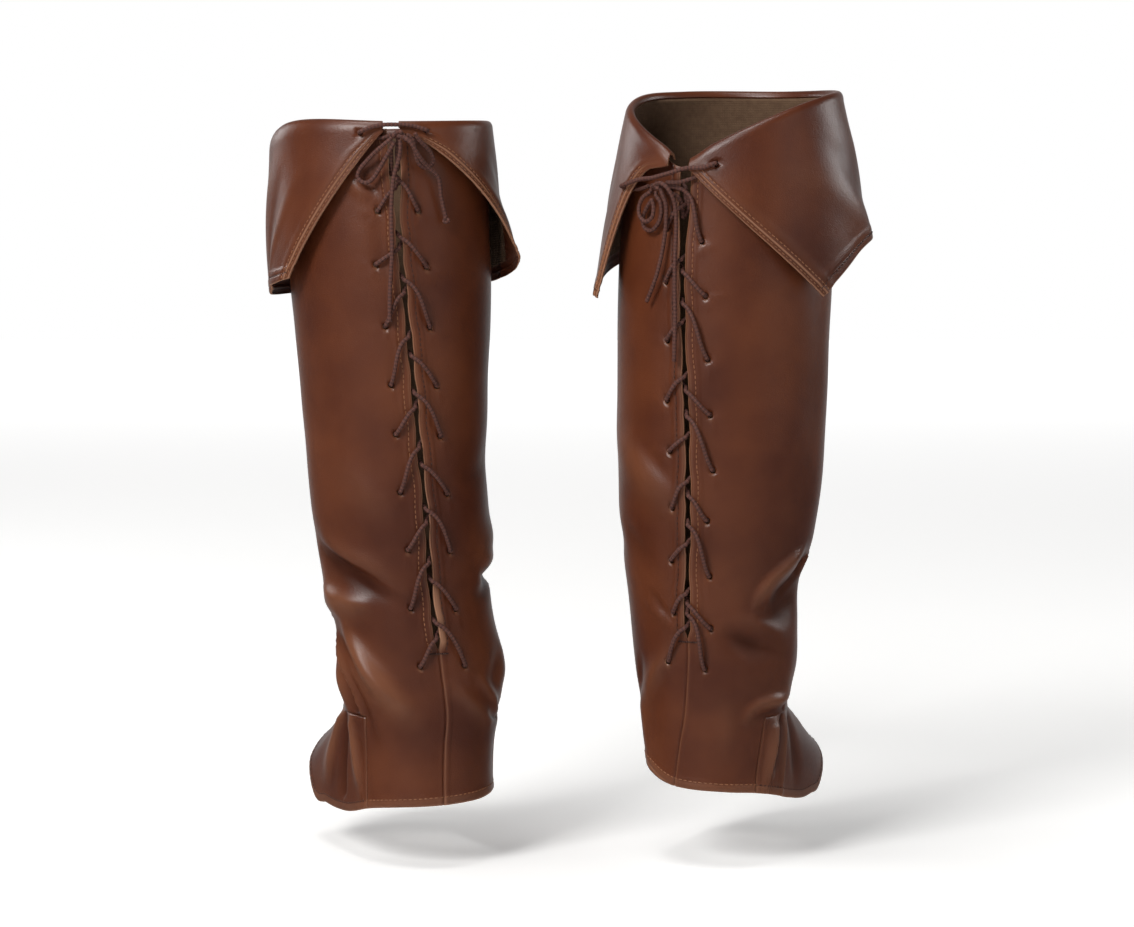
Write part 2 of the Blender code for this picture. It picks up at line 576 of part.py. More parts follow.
def smooth_path(points, step):
    """Points every step along a smooth curve through the given ones."""
    points = np.asarray(points, float)
    knots = np.concatenate([[0], np.cumsum(np.linalg.norm(np.diff(points, axis=0), axis=1))])
    slopes = np.gradient(points, knots, axis=0)
    fine = []
    for width, start, end, leaving, arriving in zip(np.diff(knots), points, points[1:], slopes, slopes[1:]):
        count = max(3, int(np.ceil(width / CURVE_STEP)))
        t = np.linspace(0, 1, count, endpoint=False)[:, None]
        rise = end - start
        bend = 3 * rise - (2 * leaving + arriving) * width
        twist = (leaving + arriving) * width - 2 * rise
        fine.append(start + t * (leaving * width + t * (bend + t * twist)))
    fine = np.vstack(fine + [points[-1:]])
    lengths = np.concatenate([[0], np.cumsum(np.linalg.norm(np.diff(fine, axis=0), axis=1))])
    places = np.linspace(0, lengths[-1], max(2, round(lengths[-1] / step) + 1))
    return np.stack([np.interp(places, lengths, fine[:, axis]) for axis in range(3)], axis=1)


def make_cord(name, points):
    """A round cord along a row of points in mm."""
    curve = bpy.data.curves.new(name, "CURVE")
    curve.dimensions = "3D"
    curve.bevel_depth = LACE_RADIUS * MM
    curve.bevel_resolution = 2
    curve.use_fill_caps = True
    spline = curve.splines.new("POLY")
    spline.points.add(len(points) - 1)
    for knot, point in zip(spline.points, points):
        knot.co = (*(Vector(point) * MM), 1.0)
    new_object(name, curve, braided_lace(name))


def make_lacing(cover):
    """The lace where the cover holds it: from the knot down one way, across inside and up the other way."""
    first = stops_to_points(cover, cover.lace_ends[0] + laced_strand(cover, 1))
    second = stops_to_points(cover, cover.lace_ends[1] + laced_strand(cover, -1))
    make_cord(cover.name + "_lacing", np.vstack([start_at_knot(cover, first), second[::-1]]))


def make_tie(cover):
    """The same lace where it goes once through both cuff flaps and back to the knot."""
    holes = [cuff_hole_axis(cover, hole) for hole in cover.tie_holes]
    (right_in, right_mid, right_out), (left_in, left_mid, left_out) = [
        [point + outwards * depth for depth in (LACE_IN, -CLOTH / 2, LACE_OUT + 0.2)]
        for point, outwards in holes]
    behind_right = list(stops_to_points(cover, cover.tie_inside_right)) + [right_in]
    in_front = [right_out] + list(stops_to_points(cover, cover.tie_across)) + [left_out]
    behind_left = [left_in] + list(stops_to_points(cover, cover.tie_inside_left))
    points = [smooth_path(behind_right, TIE_STEP), [right_mid], smooth_path(in_front, TIE_STEP), [left_mid],
              smooth_path(behind_left, TIE_STEP)]
    make_cord(cover.name + "_tie", np.vstack(points))


def knot_axes(cover):
    """Centre of the knot, and its directions across the leg, out of it and along it."""
    beside = cover.knot._replace(across=cover.knot.across + 1)
    above = cover.knot._replace(lift=cover.knot.lift + 1)
    centre, side, out = [Vector(point) for point in stops_to_points(cover, [cover.knot, beside, above])]
    across = (side - centre).normalized()
    outwards = (out - centre).normalized()
    return centre, (across, outwards, across.cross(outwards))


def start_at_knot(cover, points):
    """Lets a strand start a seam's gap off the knot and leave it squarely, on its way to its own points."""
    centre, axes = knot_axes(cover)
    way = Vector(points[0]) - centre
    shares = Vector(way.dot(axis) / half for axis, half in zip(axes, KNOT_HALF))
    out = Vector((0, 0, 0))
    for axis, half, share in zip(axes, KNOT_HALF, shares):
        out += axis * (share / half)
    out.normalize()
    start = centre + way / shares.length + out * SEAM_GAP
    return np.vstack([[start, start + out * LACE_RADIUS], points[1:]])


def make_knot(cover):
    """The knot of the bow, as one rounded lump."""
    centre, axes = knot_axes(cover)
    bm = bmesh.new()
    bmesh.ops.create_icosphere(bm, subdivisions=2, radius=1.0)
    for vert in bm.verts:
        place = centre.copy()
        for axis, half, share in zip(axes, KNOT_HALF, vert.co):
            place += axis * half * share
        vert.co = place * MM
    bmesh.ops.recalc_face_normals(bm, faces=bm.faces)
    mesh = bpy.data.meshes.new(cover.name + "_knot")
    bm.to_mesh(mesh)
    bm.free()
    mesh.shade_smooth()
    new_object(cover.name + "_knot", mesh, braided_lace(cover.name + "_knot"))


def make_bow(cover):
    """Two loops and two free ends that hang from the knot."""
    make_knot(cover)
    for kind, strands in (("bow_loop", cover.loops), ("lace_tail", cover.tails)):
        for count, stops in enumerate(strands, start=1):
            points = start_at_knot(cover, stops_to_points(cover, stops))
            hanging = smooth_path(points, BOW_STEP)[1:]
            make_cord(f"{cover.name}_{kind}_{count}", np.vstack([points[:2], hanging]))


def build():
    """Makes every piece of both covers."""
    for old in list(bpy.data.objects):
        bpy.data.objects.remove(old, do_unlink=True)
    for cover in (LEFT, RIGHT):
        make_shaft(cover)
        make_foot_piece(cover)
        make_cuff(cover)
        make_lacing(cover)
        make_tie(cover)
        make_bow(cover)


build()
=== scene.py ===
"""The pair of laced boot covers, dressed: faux leather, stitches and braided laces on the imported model.

Tables are in millimetres and are turned to metres when a mesh is made. The toes point roughly to +Y.
"""
import math
from collections import namedtuple
from functools import partial

import bmesh
import bpy
import numpy as np
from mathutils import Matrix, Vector


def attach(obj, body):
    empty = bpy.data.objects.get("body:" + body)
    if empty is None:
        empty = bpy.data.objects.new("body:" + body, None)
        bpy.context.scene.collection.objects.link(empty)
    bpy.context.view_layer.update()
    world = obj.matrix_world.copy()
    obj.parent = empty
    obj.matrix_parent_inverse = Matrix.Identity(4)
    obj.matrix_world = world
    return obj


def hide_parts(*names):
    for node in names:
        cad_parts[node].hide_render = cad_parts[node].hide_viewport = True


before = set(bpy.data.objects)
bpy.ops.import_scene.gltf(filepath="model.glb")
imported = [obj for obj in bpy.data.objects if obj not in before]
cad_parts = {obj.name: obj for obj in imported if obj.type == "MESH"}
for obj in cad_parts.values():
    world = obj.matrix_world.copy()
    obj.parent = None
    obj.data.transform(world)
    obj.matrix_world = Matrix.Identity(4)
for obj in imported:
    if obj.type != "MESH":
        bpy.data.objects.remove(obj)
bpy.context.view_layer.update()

# ---------------------------------------------------------------- studio
# The pair hangs at the height at which it is worn, seen from behind and a little above, over a pale floor.
# One broad soft light stands in front on the left and one hangs above, with a weak one on the right and a pale
# wall lit on either side.
CAMERA_PLACE = (0.0, -2.30, 0.020)
CAMERA_DOWN = 5.5              # degrees below level
CAMERA_LENS = 107.37
CAMERA_SENSOR = 36.0
FLOOR_LEVEL = -0.475           # just under the hems
FLOOR_HALF = 6.0


def linear(hex_colour):
    """An sRGB hex colour as linear red, green, blue and full alpha."""
    parts = [int(hex_colour[place:place + 2], 16) / 255 for place in (1, 3, 5)]
    return tuple(c / 12.92 if c <= 0.04045 else ((c + 0.055) / 1.055) ** 2.4 for c in parts) + (1.0,)


def new_object(name, data, *materials):
    """Puts a mesh, curve, light or camera into the scene."""
    made = bpy.data.objects.new(name, data)
    bpy.context.scene.collection.objects.link(made)
    for material in materials:
        data.materials.append(material)
    return made


def add_node(tree, kind, links=(), **settings):
    """Adds a node, or takes one that is there; settings name its properties or sockets, links feed its sockets."""
    node = tree.nodes.new(kind) if isinstance(kind, str) else kind
    for key, value in settings.items():
        if hasattr(node, key):
            setattr(node, key, value)
        else:
            node.inputs[key.replace("_", " ")].default_value = value
    for source, target in links:
        if isinstance(source, bpy.types.NodeSocket):
            tree.links.new(source, node.inputs[target])
        else:
            node.inputs[target].default_value = source
    return node


def new_material(name):
    """A material, its shader, and the function above for its tree."""
    material = bpy.data.materials.new(name)
    material.use_nodes = True
    tree = material.node_tree
    return material, tree.nodes["Principled BSDF"], partial(add_node, tree)


def softbox(name, place, target, size, power):
    """A square white studio light that faces a point."""
    data = bpy.data.lights.new(name, "AREA")
    data.shape = "SQUARE"
    data.size = size
    data.energy = power
    light = new_object(name, data)
    light.location = place
    light.rotation_euler = (Vector(target) - Vector(place)).to_track_quat("-Z", "Y").to_euler()


camera_data = bpy.data.cameras.new("camera")
camera_data.lens = CAMERA_LENS
camera_data.sensor_width = CAMERA_SENSOR
camera = new_object("camera", camera_data)
camera.location = CAMERA_PLACE
camera.rotation_euler = (math.radians(90 - CAMERA_DOWN), 0, 0)
bpy.context.scene.camera = camera

softbox("key_light", (-1.4, -2.0, 1.55), (0, 0, -0.2), 1.0, 69)
softbox("top_light", (-0.4, -0.5, 2.1), (0, 0, -0.3), 0.9, 22)
softbox("fill_light", (2.1, -1.7, 0.6), (0, 0, -0.2), 1.4, 4)
softbox("right_wall", (1.9, 0.6, 0.4), (0.0, 0, -0.05), 0.6, 8)
softbox("left_wall", (-1.7, 1.3, 0.5), (0.05, 0, -0.05), 0.7, 8)

# the room is bright straight behind the pair and dim elsewhere, and its walls look plain white
bpy.context.scene.view_settings.view_transform = "Standard"
world = bpy.data.worlds.new("studio")
world.use_nodes = True
room = world.node_tree
in_room = partial(add_node, room)
direction = in_room("ShaderNodeSeparateXYZ", [(in_room("ShaderNodeTexCoord").outputs["Generated"], "Vector")])
brightness = in_room("ShaderNodeMapRange", [(direction.outputs["Y"], "Value")],
                     From_Min=0.75, From_Max=1.0, To_Min=0.06, To_Max=0.8)
seen = in_room("ShaderNodeMix", [(in_room("ShaderNodeLightPath").outputs["Is Camera Ray"], "Factor"),
                                 (brightness.outputs["Result"], "A")], B=1.0)
in_room(room.nodes["Background"], [(seen.outputs["Result"], "Strength")], Color=linear("#ffffff"))
bpy.context.scene.world = world

# the floor glows, faintly near and more as it runs back, so that it meets the white wall softly
floor_paint, shader, add = new_material("pale_glowing_floor_paint")
floor_place = add("ShaderNodeSeparateXYZ", [(add("ShaderNodeTexCoord").outputs["Object"], "Vector")])
far = add("ShaderNodeMapRange", [(floor_place.outputs["Y"], "Value")],
          From_Min=0.0, From_Max=5.0, To_Min=0.28, To_Max=1.05)
add(shader, [(far.outputs["Result"], "Emission Strength")], Base_Color=linear("#f4f3f1"), Roughness=0.9,
    Emission_Color=linear("#ffffff"))
floor_corners = [(x * FLOOR_HALF, y * FLOOR_HALF, FLOOR_LEVEL) for x, y in ((-1, -1), (1, -1), (1, 1), (-1, 1))]
floor_mesh = bpy.data.meshes.new("floor")
floor_mesh.from_pydata(floor_corners, [], [(0, 1, 2, 3)])
floor = new_object("floor", floor_mesh, floor_paint)
floor.visible_glossy = False

# ---------------------------------------------------------------- shafts
# Each shaft is one panel of polyurethane faux leather on a woven backing, wrapped round the calf. Its back edges
# are turned in, topstitched and punched for the lace, and below the slit they are sewn into the centre back seam.
# A place on it is an angle round it or a distance across from that seam, growing towards +X, and a height.
COVERS = ("left", "right")
MM = 0.001
CLOTH = 1.6
SEAM_GAP = 0.3
TOP_ROLL = 5.0         # from the crest of the cuff's fold down to the shaft's top edge
ANKLE_SEAM = -372.0
SIDE_SEAM = 68.0       # angle of the seams beside the heel
LEG_RADIUS = 58.0      # a usual one, for the size of a fold round the leg
FRONT_FADE = 25.0      # degrees over which the small waves die away towards the front
HEM_LEVEL = -430.0
HOLE_RADIUS = 2.2
HEM_BAND = 6.5         # turned up
HEM_STITCH = 5.7       # from the hem's edge to its topstitch
EDGE_BAND = 8.0        # turned in along the slit
TURNED_RISE = 0.55     # how far two plies stand up over one
EDGE_STITCH = 5.0      # from the slit's edge to its topstitch
SEAM_BAND = 4.2        # seam allowance that shows through beside the centre back seam
SLIT_CLOSING = 6.0     # height over which the slit narrows to nothing at its end
SLIT_REST = 1.25       # half of the gap between two lace rows
SLIT_PULLED = 2.2      # the same where the lace comes out
SLIT_TOP = 4.0         # the same at the top
SLIT_WIDE = 30.0       # from the top down to where the slit has narrowed to its usual gap
PUCKER_SEEDS = {"left": 11, "right": 12}
WAVE_SEEDS = {"left": 21, "right": 22}

Section = namedtuple("Section", "z x y half_width back front square toe seam")
Fold = namedtuple("Fold", "angle z tilt length above below height")
Edge = namedtuple("Edge", "angle z")
LaceRow = namedtuple("LaceRow", "left_hole left_out left_apex right_hole right_out right_apex")
Crease = namedtuple("Crease", "line left right height start end")

SECTIONS = {
    "left": [
        Section(36, -122, 0, 67, 67, 72, 2.0, -5, 6),
        Section(-50, -121, 0, 68.5, 69, 72, 2.0, -8, 9),
        Section(-110, -118.5, 0, 66.5, 67, 70, 2.0, -10, 12),
        Section(-170, -117, 0, 62.5, 64, 67, 2.0, -12, 16),
        Section(-230, -114, 1, 61, 61, 65, 2.0, -14, 19),
        Section(-290, -109, 3, 56, 57, 63, 2.0, -18, 19),
        Section(-340, -101, 5, 54.5, 54, 62, 2.1, -22, 18),
        Section(-372, -98.5, 6, 52, 52, 70, 2.2, -24, 19),
        Section(-390, -99.5, 6, 49, 51, 93, 2.6, -26, 19),
        Section(-410, -100, 6, 48, 51, 122, 2.9, -28, 19),
        Section(-428, -100, 6, 48, 51, 143, 3.1, -28, 19),
        Section(-445, -100, 6, 48, 50, 149, 3.2, -28, 19),
    ],
    "right": [
        Section(56, 114, 0, 67, 64, 70, 2.0, 5, -28),
        Section(0, 110, 0, 70.5, 66, 70, 2.0, 6, -28),
        Section(-90, 107, 0, 72.3, 67, 70, 2.0, 8, -27),
        Section(-150, 105.8, 0, 71.5, 66, 69, 2.0, 10, -24),
        Section(-210, 104.5, 0, 69.8, 64, 68, 2.0, 12, -22),
        Section(-250, 102.5, 1, 66, 61, 66, 2.0, 14, -21),
        Section(-290, 100.5, 3, 58.5, 57, 64, 2.0, 16, -20.5),
        Section(-340, 102, 5, 55, 54, 62, 2.1, 18, -23),
        Section(-372, 101, 6, 48.5, 52, 66, 2.2, 20, -25.5),
        Section(-390, 102, 6, 48, 51, 92, 2.6, 22, -31),
        Section(-410, 103, 6, 47, 50, 124, 2.9, 25, -36),
        Section(-428, 103.5, 6, 47, 50, 142, 3.1, 25, -38),
        Section(-445, 103.5, 6, 47, 50, 147, 3.2, 25, -39),
    ],
}
FOLDS = {
    "left": [
        Fold(-62, -268, -24, 36, 12, 8, -4.0),
        Fold(-75, -297, -8, 28, 9, 9, 4.5),
        Fold(-85, -322, -35, 25, 8, 8, -3.0),
        Fold(-47, -346, -49, 30, 9, 12, 4.0),
        Fold(-70, -358, -65, 24, 5, 5, -4.5),
        Fold(-97, -350, -70, 18, 12, 12, 6.0),
        Fold(70, -278, 20, 25, 6, 6, -5.0),
        Fold(72, -252, 10, 30, 12, 12, 3.0),
        Fold(80, -200, 0, 25, 22, 22, -2.5),
        Fold(70, -342, 0, 25, 22, 14, 4.0),
        Fold(72, -372, -30, 18, 5, 5, -2.5),
        Fold(176, -272, 8, 42, 10, 9, -4.0),
        Fold(165, -300, -6, 38, 9, 10, 4.0),
        Fold(192, -330, 10, 36, 9, 9, -4.0),
    ],
    "right": [
        Fold(76, -275, 27, 30, 14, 6, 3.0),
        Fold(85, -293, 25, 28, 9, 14, -6.0),
        Fold(42, -322, -30, 20, 7, 7, -2.0),
        Fold(88, -361, 0, 22, 8, 5, 3.0),
        Fold(-38, -203, -42, 40, 12, 12, 2.0),
        Fold(-48, -375, -70, 30, 9, 9, 2.5),
        Fold(-80, -250, -15, 30, 12, 12, -2.0),
        Fold(182, -268, -8, 42, 10, 9, -4.0),
        Fold(195, -298, 6, 38, 9, 10, 4.0),
        Fold(170, -328, -10, 36, 9, 9, -4.0),
    ],
}
TOP = {
    "left": [
        Edge(0, 31), Edge(90, 31), Edge(135, 28), Edge(180, 26), Edge(238, 25), Edge(266, 24), Edge(296, 31),
    ],
    "right": [
        Edge(0, 6), Edge(15, 16), Edge(30, 25), Edge(60, 40), Edge(90, 49), Edge(125, 52), Edge(180, 52),
        Edge(235, 52), Edge(270, 49), Edge(300, 40), Edge(330, 25), Edge(345, 16),
    ],
}
HEM = {
    "left": [
        Edge(0, -431), Edge(45, -429), Edge(90, -428), Edge(135, -434), Edge(172, -438), Edge(180, -435),
        Edge(185, -424), Edge(190, -411), Edge(198, -403), Edge(208, -400), Edge(218, -403), Edge(226, -411),
        Edge(231, -425), Edge(236, -440), Edge(248, -443), Edge(270, -443), Edge(315, -435),
    ],
    "right": [
        Edge(0, -421), Edge(30, -423), Edge(60, -428), Edge(90, -434), Edge(118, -438), Edge(127, -436),
        Edge(132, -425), Edge(137, -410), Edge(145, -400), Edge(155, -396), Edge(165, -400), Edge(173, -409),
        Edge(178, -420), Edge(183, -429), Edge(205, -427), Edge(230, -420), Edge(270, -406), Edge(320, -418),
    ],
}
LACE_ROWS = {
    "left": [
        LaceRow(-28, 13, -15, -28, 14, -9),
        LaceRow(-63, 17, -54, -65, 17, -47),
        LaceRow(-104, 15, -84, -105, 15, -75),
        LaceRow(-143, 15, -113, -144, 16, -126),
        LaceRow(-176, 15, -160, -178, 16, -151),
        LaceRow(-215, 16, -187, -217, 17, -199),
        LaceRow(-254, 14, -238, -256, 16, -229),
        LaceRow(-294, 15, -265, -296, 17, -277),
        LaceRow(-334, 14, -317, -335, 18, -306),
    ],
    "right": [
        LaceRow(-40, 12, -27, -48, 13, -17),
        LaceRow(-75, 12, -62, -84, 16, -70),
        LaceRow(-114, 12, -104, -126, 16, -91),
        LaceRow(-154, 14, -140, -163, 16, -149),
        LaceRow(-188, 13, -180, -200, 17, -166),
        LaceRow(-226, 11, -210, -234, 13, -219),
        LaceRow(-262, 12, -252, -272, 15, -239),
        LaceRow(-298, 10, -286, -308, 16, -293),
        LaceRow(-332, 14, -309, -336, 12, -300),
    ],
}
SLIT_END = {"left": -324.0, "right": -316.0}

# soft creases over those folds: a line of places (across, height), widths left and right of the way it runs,
# height of the ridge or depth of the trough, and the share of that at its start and its end
CREASES = {
    "left": [
        Crease([(-92, -249), (-80, -253), (-62, -260), (-42, -268), (-22, -282)], 9, 3.0, 4.4, 0.1, 0.2),
        Crease([(-94, -262), (-62, -273), (-40, -282), (-26, -290)], 3.6, 8, -2.3, 0.6, 0),
        Crease([(-92, -284), (-80, -287), (-62, -290), (-41, -295)], 5, 6, 3.8, 0.4, 0),
        Crease([(-97, -307), (-60, -302), (-30, -300)], 7, 13, -2.2, 1, 0),
        Crease([(-74, -303), (-62, -320), (-48, -341), (-35, -357), (-24, -368)], 7, 7.5, 5.6, 0.1, 0),
        Crease([(-97, -307), (-86, -328), (-71, -354), (-64, -372)], 10, 1.4, 4.6, 0.3, 0.6),
        Crease([(-105, -313), (-91, -333), (-74, -361), (-67, -377)], 2.0, 9, -4.6, 0.4, 1),
        Crease([(88, -281), (62, -279), (42, -275)], 2.6, 5, -3.0, 1, 0),
        Crease([(90, -266), (64, -266), (38, -262)], 7, 6, 2.2, 1, 0),
        Crease([(2, -343), (18, -360), (38, -376)], 6, 6, 2.4, 0, 0.4),
        Crease([(62, -377), (48, -375), (34, -369)], 1.8, 3, -2.0, 1, 0),
        Crease([(64, -326), (50, -341), (40, -358)], 9, 8, -2.6, 0, 0),
        Crease([(26, -340), (38, -354), (54, -371)], 5, 4, 2.2, 0, 0.3),
        Crease([(-33, -3), (-26, -13), (-17, -20)], 3.2, 4, 1.5, 0, 0),
        Crease([(-26, 2), (-19, -9), (-10, -17)], 2.8, 3, -1.4, 0, 0),
        Crease([(-22, -24), (-14, -44), (-13, -70)], 6, 6, -1.0, 0, 0),
        Crease([(-60, -190), (-42, -214), (-20, -232)], 9, 11, 1.4, 0, 0),
        Crease([(75, -190), (52, -205), (24, -208)], 9, 9, -1.1, 0, 0),
        Crease([(112, -268), (140, -260), (174, -263)], 6, 4, -2.8, 0, 0),
        Crease([(-172, -270), (-146, -264), (-118, -272)], 4, 7, -2.2, 0, 0),
        Crease([(108, -298), (138, -302), (174, -294)], 5, 8, 2.6, 0, 0),
        Crease([(-140, -314), (-158, -320), (-176, -321)], 5, 6, -2.8, 0, 0),
        Crease([(130, -330), (118, -344), (96, -352)], 7, 5, 2.2, 0, 0.5),
    ],
    "right": [
        Crease([(94, -254), (82, -259), (66, -268), (54, -278), (47, -290), (45, -300)], 9, 2.6, 4.4, 0.1, 0.1),
        Crease([(96, -272), (78, -282), (60, -291)], 7, 14, -6.6, 1, 0.3),
        Crease([(24, -308), (42, -318), (66, -328)], 7, 5, -2.6, 0, 0.4),
        Crease([(28, -297), (48, -306), (70, -312)], 5, 5, 1.8, 0, 0.4),
        Crease([(-58, -172), (-30, -202), (-9, -229)], 9, 10, 1.6, 0.3, 0),
        Crease([(-44, -176), (-22, -199), (-6, -212)], 6, 6, -1.1, 0, 0),
        Crease([(-31, -282), (-20, -294), (-10, -303)], 2.4, 2.8, -1.4, 0, 0.6),
        Crease([(-36, -290), (-24, -299), (-11, -306)], 2.4, 3.2, 0.8, 0, 0.4),
        Crease([(-8, -318), (-28, -345), (-39, -367)], 6, 8, 2.8, 0, 0.2),
        Crease([(-42, -328), (-48, -350), (-52, -368)], 5, 6, -2.0, 0, 0),
        Crease([(84, -361), (62, -360), (48, -364), (42, -376)], 5, 3, 3.6, 0.2, 0),
        Crease([(92, -369), (68, -368.5), (54, -370.5)], 2.4, 1.6, -3.0, 1, 0.2),
        Crease([(20, -345), (30, -372), (34, -402)], 7, 9, 1.2, 0, 0),
        Crease([(-62, -236), (-44, -252), (-24, -262)], 7, 8, -1.3, 0, 0),
        Crease([(-174, -262), (-146, -268), (-114, -261)], 4, 6, -2.8, 0, 0),
        Crease([(120, -274), (148, -268), (174, -273)], 6, 4, -2.2, 0, 0),
        Crease([(-174, -296), (-142, -290), (-108, -298)], 5, 8, 2.6, 0, 0),
        Crease([(-134, -312), (-154, -319), (-174, -321)], 5, 6, -2.8, 0, 0),
        Crease([(-120, -330), (-108, -346), (-92, -356)], 5, 7, 2.2, 0, 0.5),
    ],
}


def curve_between(start, end, out, into, t):
    """A smooth way from start to end that leaves with slope out and arrives with slope into."""
    rise = end - start
    return start + t * (out + t * (3 * rise - 2 * out - into + t * (out + into - 2 * rise)))


def along(rows, column, at):
    """One column of a table as a smooth curve, read at places of its key column."""
    ordered = sorted(rows, key=lambda row: row[0])
    keys = np.array([row[0] for row in ordered], dtype=float)
    values = np.array([getattr(row, column) for row in ordered], dtype=float)
    slopes = np.gradient(values, keys)
    place = np.clip(at, keys[0], keys[-1])
    first = np.clip(np.searchsorted(keys, place) - 1, 0, len(keys) - 2)
    width = keys[first + 1] - keys[first]
    return curve_between(values[first], values[first + 1], slopes[first] * width, slopes[first + 1] * width,
                         (place - keys[first]) / width)


def around(edges, angle):
    """Height of an edge that runs right round a cover, at an angle in degrees."""
    rows = [edge._replace(angle=edge.angle + turn) for turn in (-360, 0, 360) for edge in edges]
    return along(rows, "z", np.mod(angle, 360))


def wrapped(angle):
    """The same angle between -180 and 180 degrees."""
    return np.mod(np.asarray(angle, float) + 180, 360) - 180


def fold_height(cover, angle, z):
    """How far the large folds push the cloth out, less how far they let it fall in."""
    total = np.zeros(np.broadcast(angle, z).shape)
    for fold in FOLDS[cover]:
        arc = np.radians(wrapped(angle - fold.angle)) * LEG_RADIUS
        up = z - fold.z
        tilt = np.radians(fold.tilt)
        lengthwise = arc * np.cos(tilt) + up * np.sin(tilt)
        crosswise = up * np.cos(tilt) - arc * np.sin(tilt)
        width = np.where(crosswise > 0, fold.above, fold.below)
        total += fold.height * np.exp(-(lengthwise / fold.length) ** 2 - (crosswise / width) ** 2)
    return total


def surface(cover, angle, z, spread=0.0, folded=True):
    """Points on the outside of the cloth, with the section widened by spread."""
    angle, z, spread = np.broadcast_arrays(np.asarray(angle, float), np.asarray(z, float), spread)
    size = {name: along(SECTIONS[cover], name, z) for name in Section._fields[1:]}
    azimuth = np.radians(angle + size["seam"])
    from_toe = azimuth - np.radians(180 - size["toe"])
    lengthwise, crosswise = np.cos(from_toe), np.sin(from_toe)
    reach = np.where(lengthwise > 0, size["front"], size["back"])
    power = np.where(lengthwise > 0, size["square"], 2.0)
    outline = np.abs(lengthwise / reach) ** power + np.abs(crosswise / size["half_width"]) ** power
    radius = outline ** (-1 / power) + spread
    if folded:
        radius = radius + fold_height(cover, angle, z)
    return np.stack([size["x"] + radius * np.sin(azimuth), size["y"] - radius * np.cos(azimuth), z], axis=-1)


def lifted(cover, angle, z, lift):
    """Points a distance off the outside of the cloth, outwards where it is positive."""
    across = surface(cover, angle + 0.5, z) - surface(cover, angle - 0.5, z)
    upwards = surface(cover, angle, z + 1) - surface(cover, angle, z - 1)
    normal = np.cross(across, upwards)
    normal /= np.linalg.norm(normal, axis=-1, keepdims=True)
    return surface(cover, angle, z) + normal * np.asarray(lift, float)[..., None]


def angle_at(cover, across, z):
    """Angle of a place given by its distance from the centre back seam along the cloth."""
    return np.degrees(across / along(SECTIONS[cover], "back", z))


def across_at(cover, angle, z):
    """Distance from the centre back seam along the cloth, positive towards +X."""
    return np.radians(wrapped(angle)) * along(SECTIONS[cover], "back", z)


def smooth_path(points, step):
    """Points every step along a smooth curve through the given ones."""
    points = np.asarray(points, float)
    knots = np.concatenate([[0], np.cumsum(np.linalg.norm(np.diff(points, axis=0), axis=1))])
    slopes = np.gradient(points, knots, axis=0)
    fine = []
    for width, start, end, out, into in zip(np.diff(knots), points, points[1:], slopes, slopes[1:]):
        t = np.linspace(0, 1, max(3, math.ceil(width / 0.4)), endpoint=False)[:, None]
        fine.append(curve_between(start, end, out * width, into * width, t))
    fine = np.vstack(fine + [points[-1:]])
    lengths = np.concatenate([[0], np.cumsum(np.linalg.norm(np.diff(fine, axis=0), axis=1))])
    places = np.linspace(0, lengths[-1], max(2, round(lengths[-1] / step) + 1))
    return np.stack([np.interp(places, lengths, fine[:, axis]) for axis in range(fine.shape[1])], axis=1)


def bump_at(distance, width):
    """A soft hump of height 1 and the given width; times so many mm it is a ridge, or a groove if less than 0."""
    return np.exp(-(distance / width) ** 2)


def step_down(distance, edge, softness):
    """1 well before an edge and 0 well past it."""
    return 1 / (1 + np.exp(np.clip((distance - edge) / softness, -40, 40)))


def crease_height(creases, across, z):
    """Height of a list of creases at places given by distance across and height."""
    total = np.zeros(np.broadcast(across, z).shape)
    for crease in creases:
        line = smooth_path(crease.line, 6.0)
        nearest = np.full(total.shape, np.inf)
        side = np.zeros(total.shape)
        share = np.zeros(total.shape)
        for k, (start, end) in enumerate(zip(line, line[1:])):
            run = end - start
            from_start = (across - start[0]) * run[0] + (z - start[1]) * run[1]
            t = np.clip(from_start / run.dot(run), 0, 1)
            off_x = across - start[0] - t * run[0]
            off_z = z - start[1] - t * run[1]
            distance = np.hypot(off_x, off_z)
            closer = distance < nearest
            nearest = np.where(closer, distance, nearest)
            side = np.where(closer, run[0] * off_z - run[1] * off_x, side)
            share = np.where(closer, (k + t) / (len(line) - 1), share)
        rise = crease.start + (1 - crease.start) * np.sin(np.pi / 2 * np.clip(share / 0.5, 0, 1))
        fall = crease.end + (1 - crease.end) * np.sin(np.pi / 2 * np.clip((1 - share) / 0.5, 0, 1))
        total += crease.height * rise * fall * bump_at(nearest, np.where(side > 0, crease.left, crease.right))
    return total


def slack(seed, across, z, height, longest):
    """The slow uneven waves of cloth that hangs a little loose."""
    random = np.random.default_rng(seed)
    total = 0.0
    for wave in range(7):
        length = longest * random.uniform(0.35, 1.0)
        way = random.uniform(0, np.pi)
        place = across * np.cos(way) + z * np.sin(way)
        total = total + np.sin(place * 2 * np.pi / length + random.uniform(0, 2 * np.pi)) * length / longest
    return total * height / 3


def slit_gap(cover, z):
    """Half of the gap between the laced edges in the fine cloth, nothing where the seam is sewn."""
    top = float(around(TOP[cover], 0)) - TOP_ROLL
    comes_out = [apex + 3 for row in LACE_ROWS[cover] for apex in (row.left_apex, row.right_apex)]
    pulled = sum(bump_at(z - level, 7.0) for level in comes_out)
    half = SLIT_REST + (SLIT_PULLED - SLIT_REST) * np.clip(pulled, 0, 1)
    half = half + (SLIT_TOP - half) * np.clip((z - top + 2 * SLIT_WIDE) / SLIT_WIDE, 0, 1)
    return half * np.clip((z - SLIT_END[cover]) / SLIT_CLOSING, 0, 1)


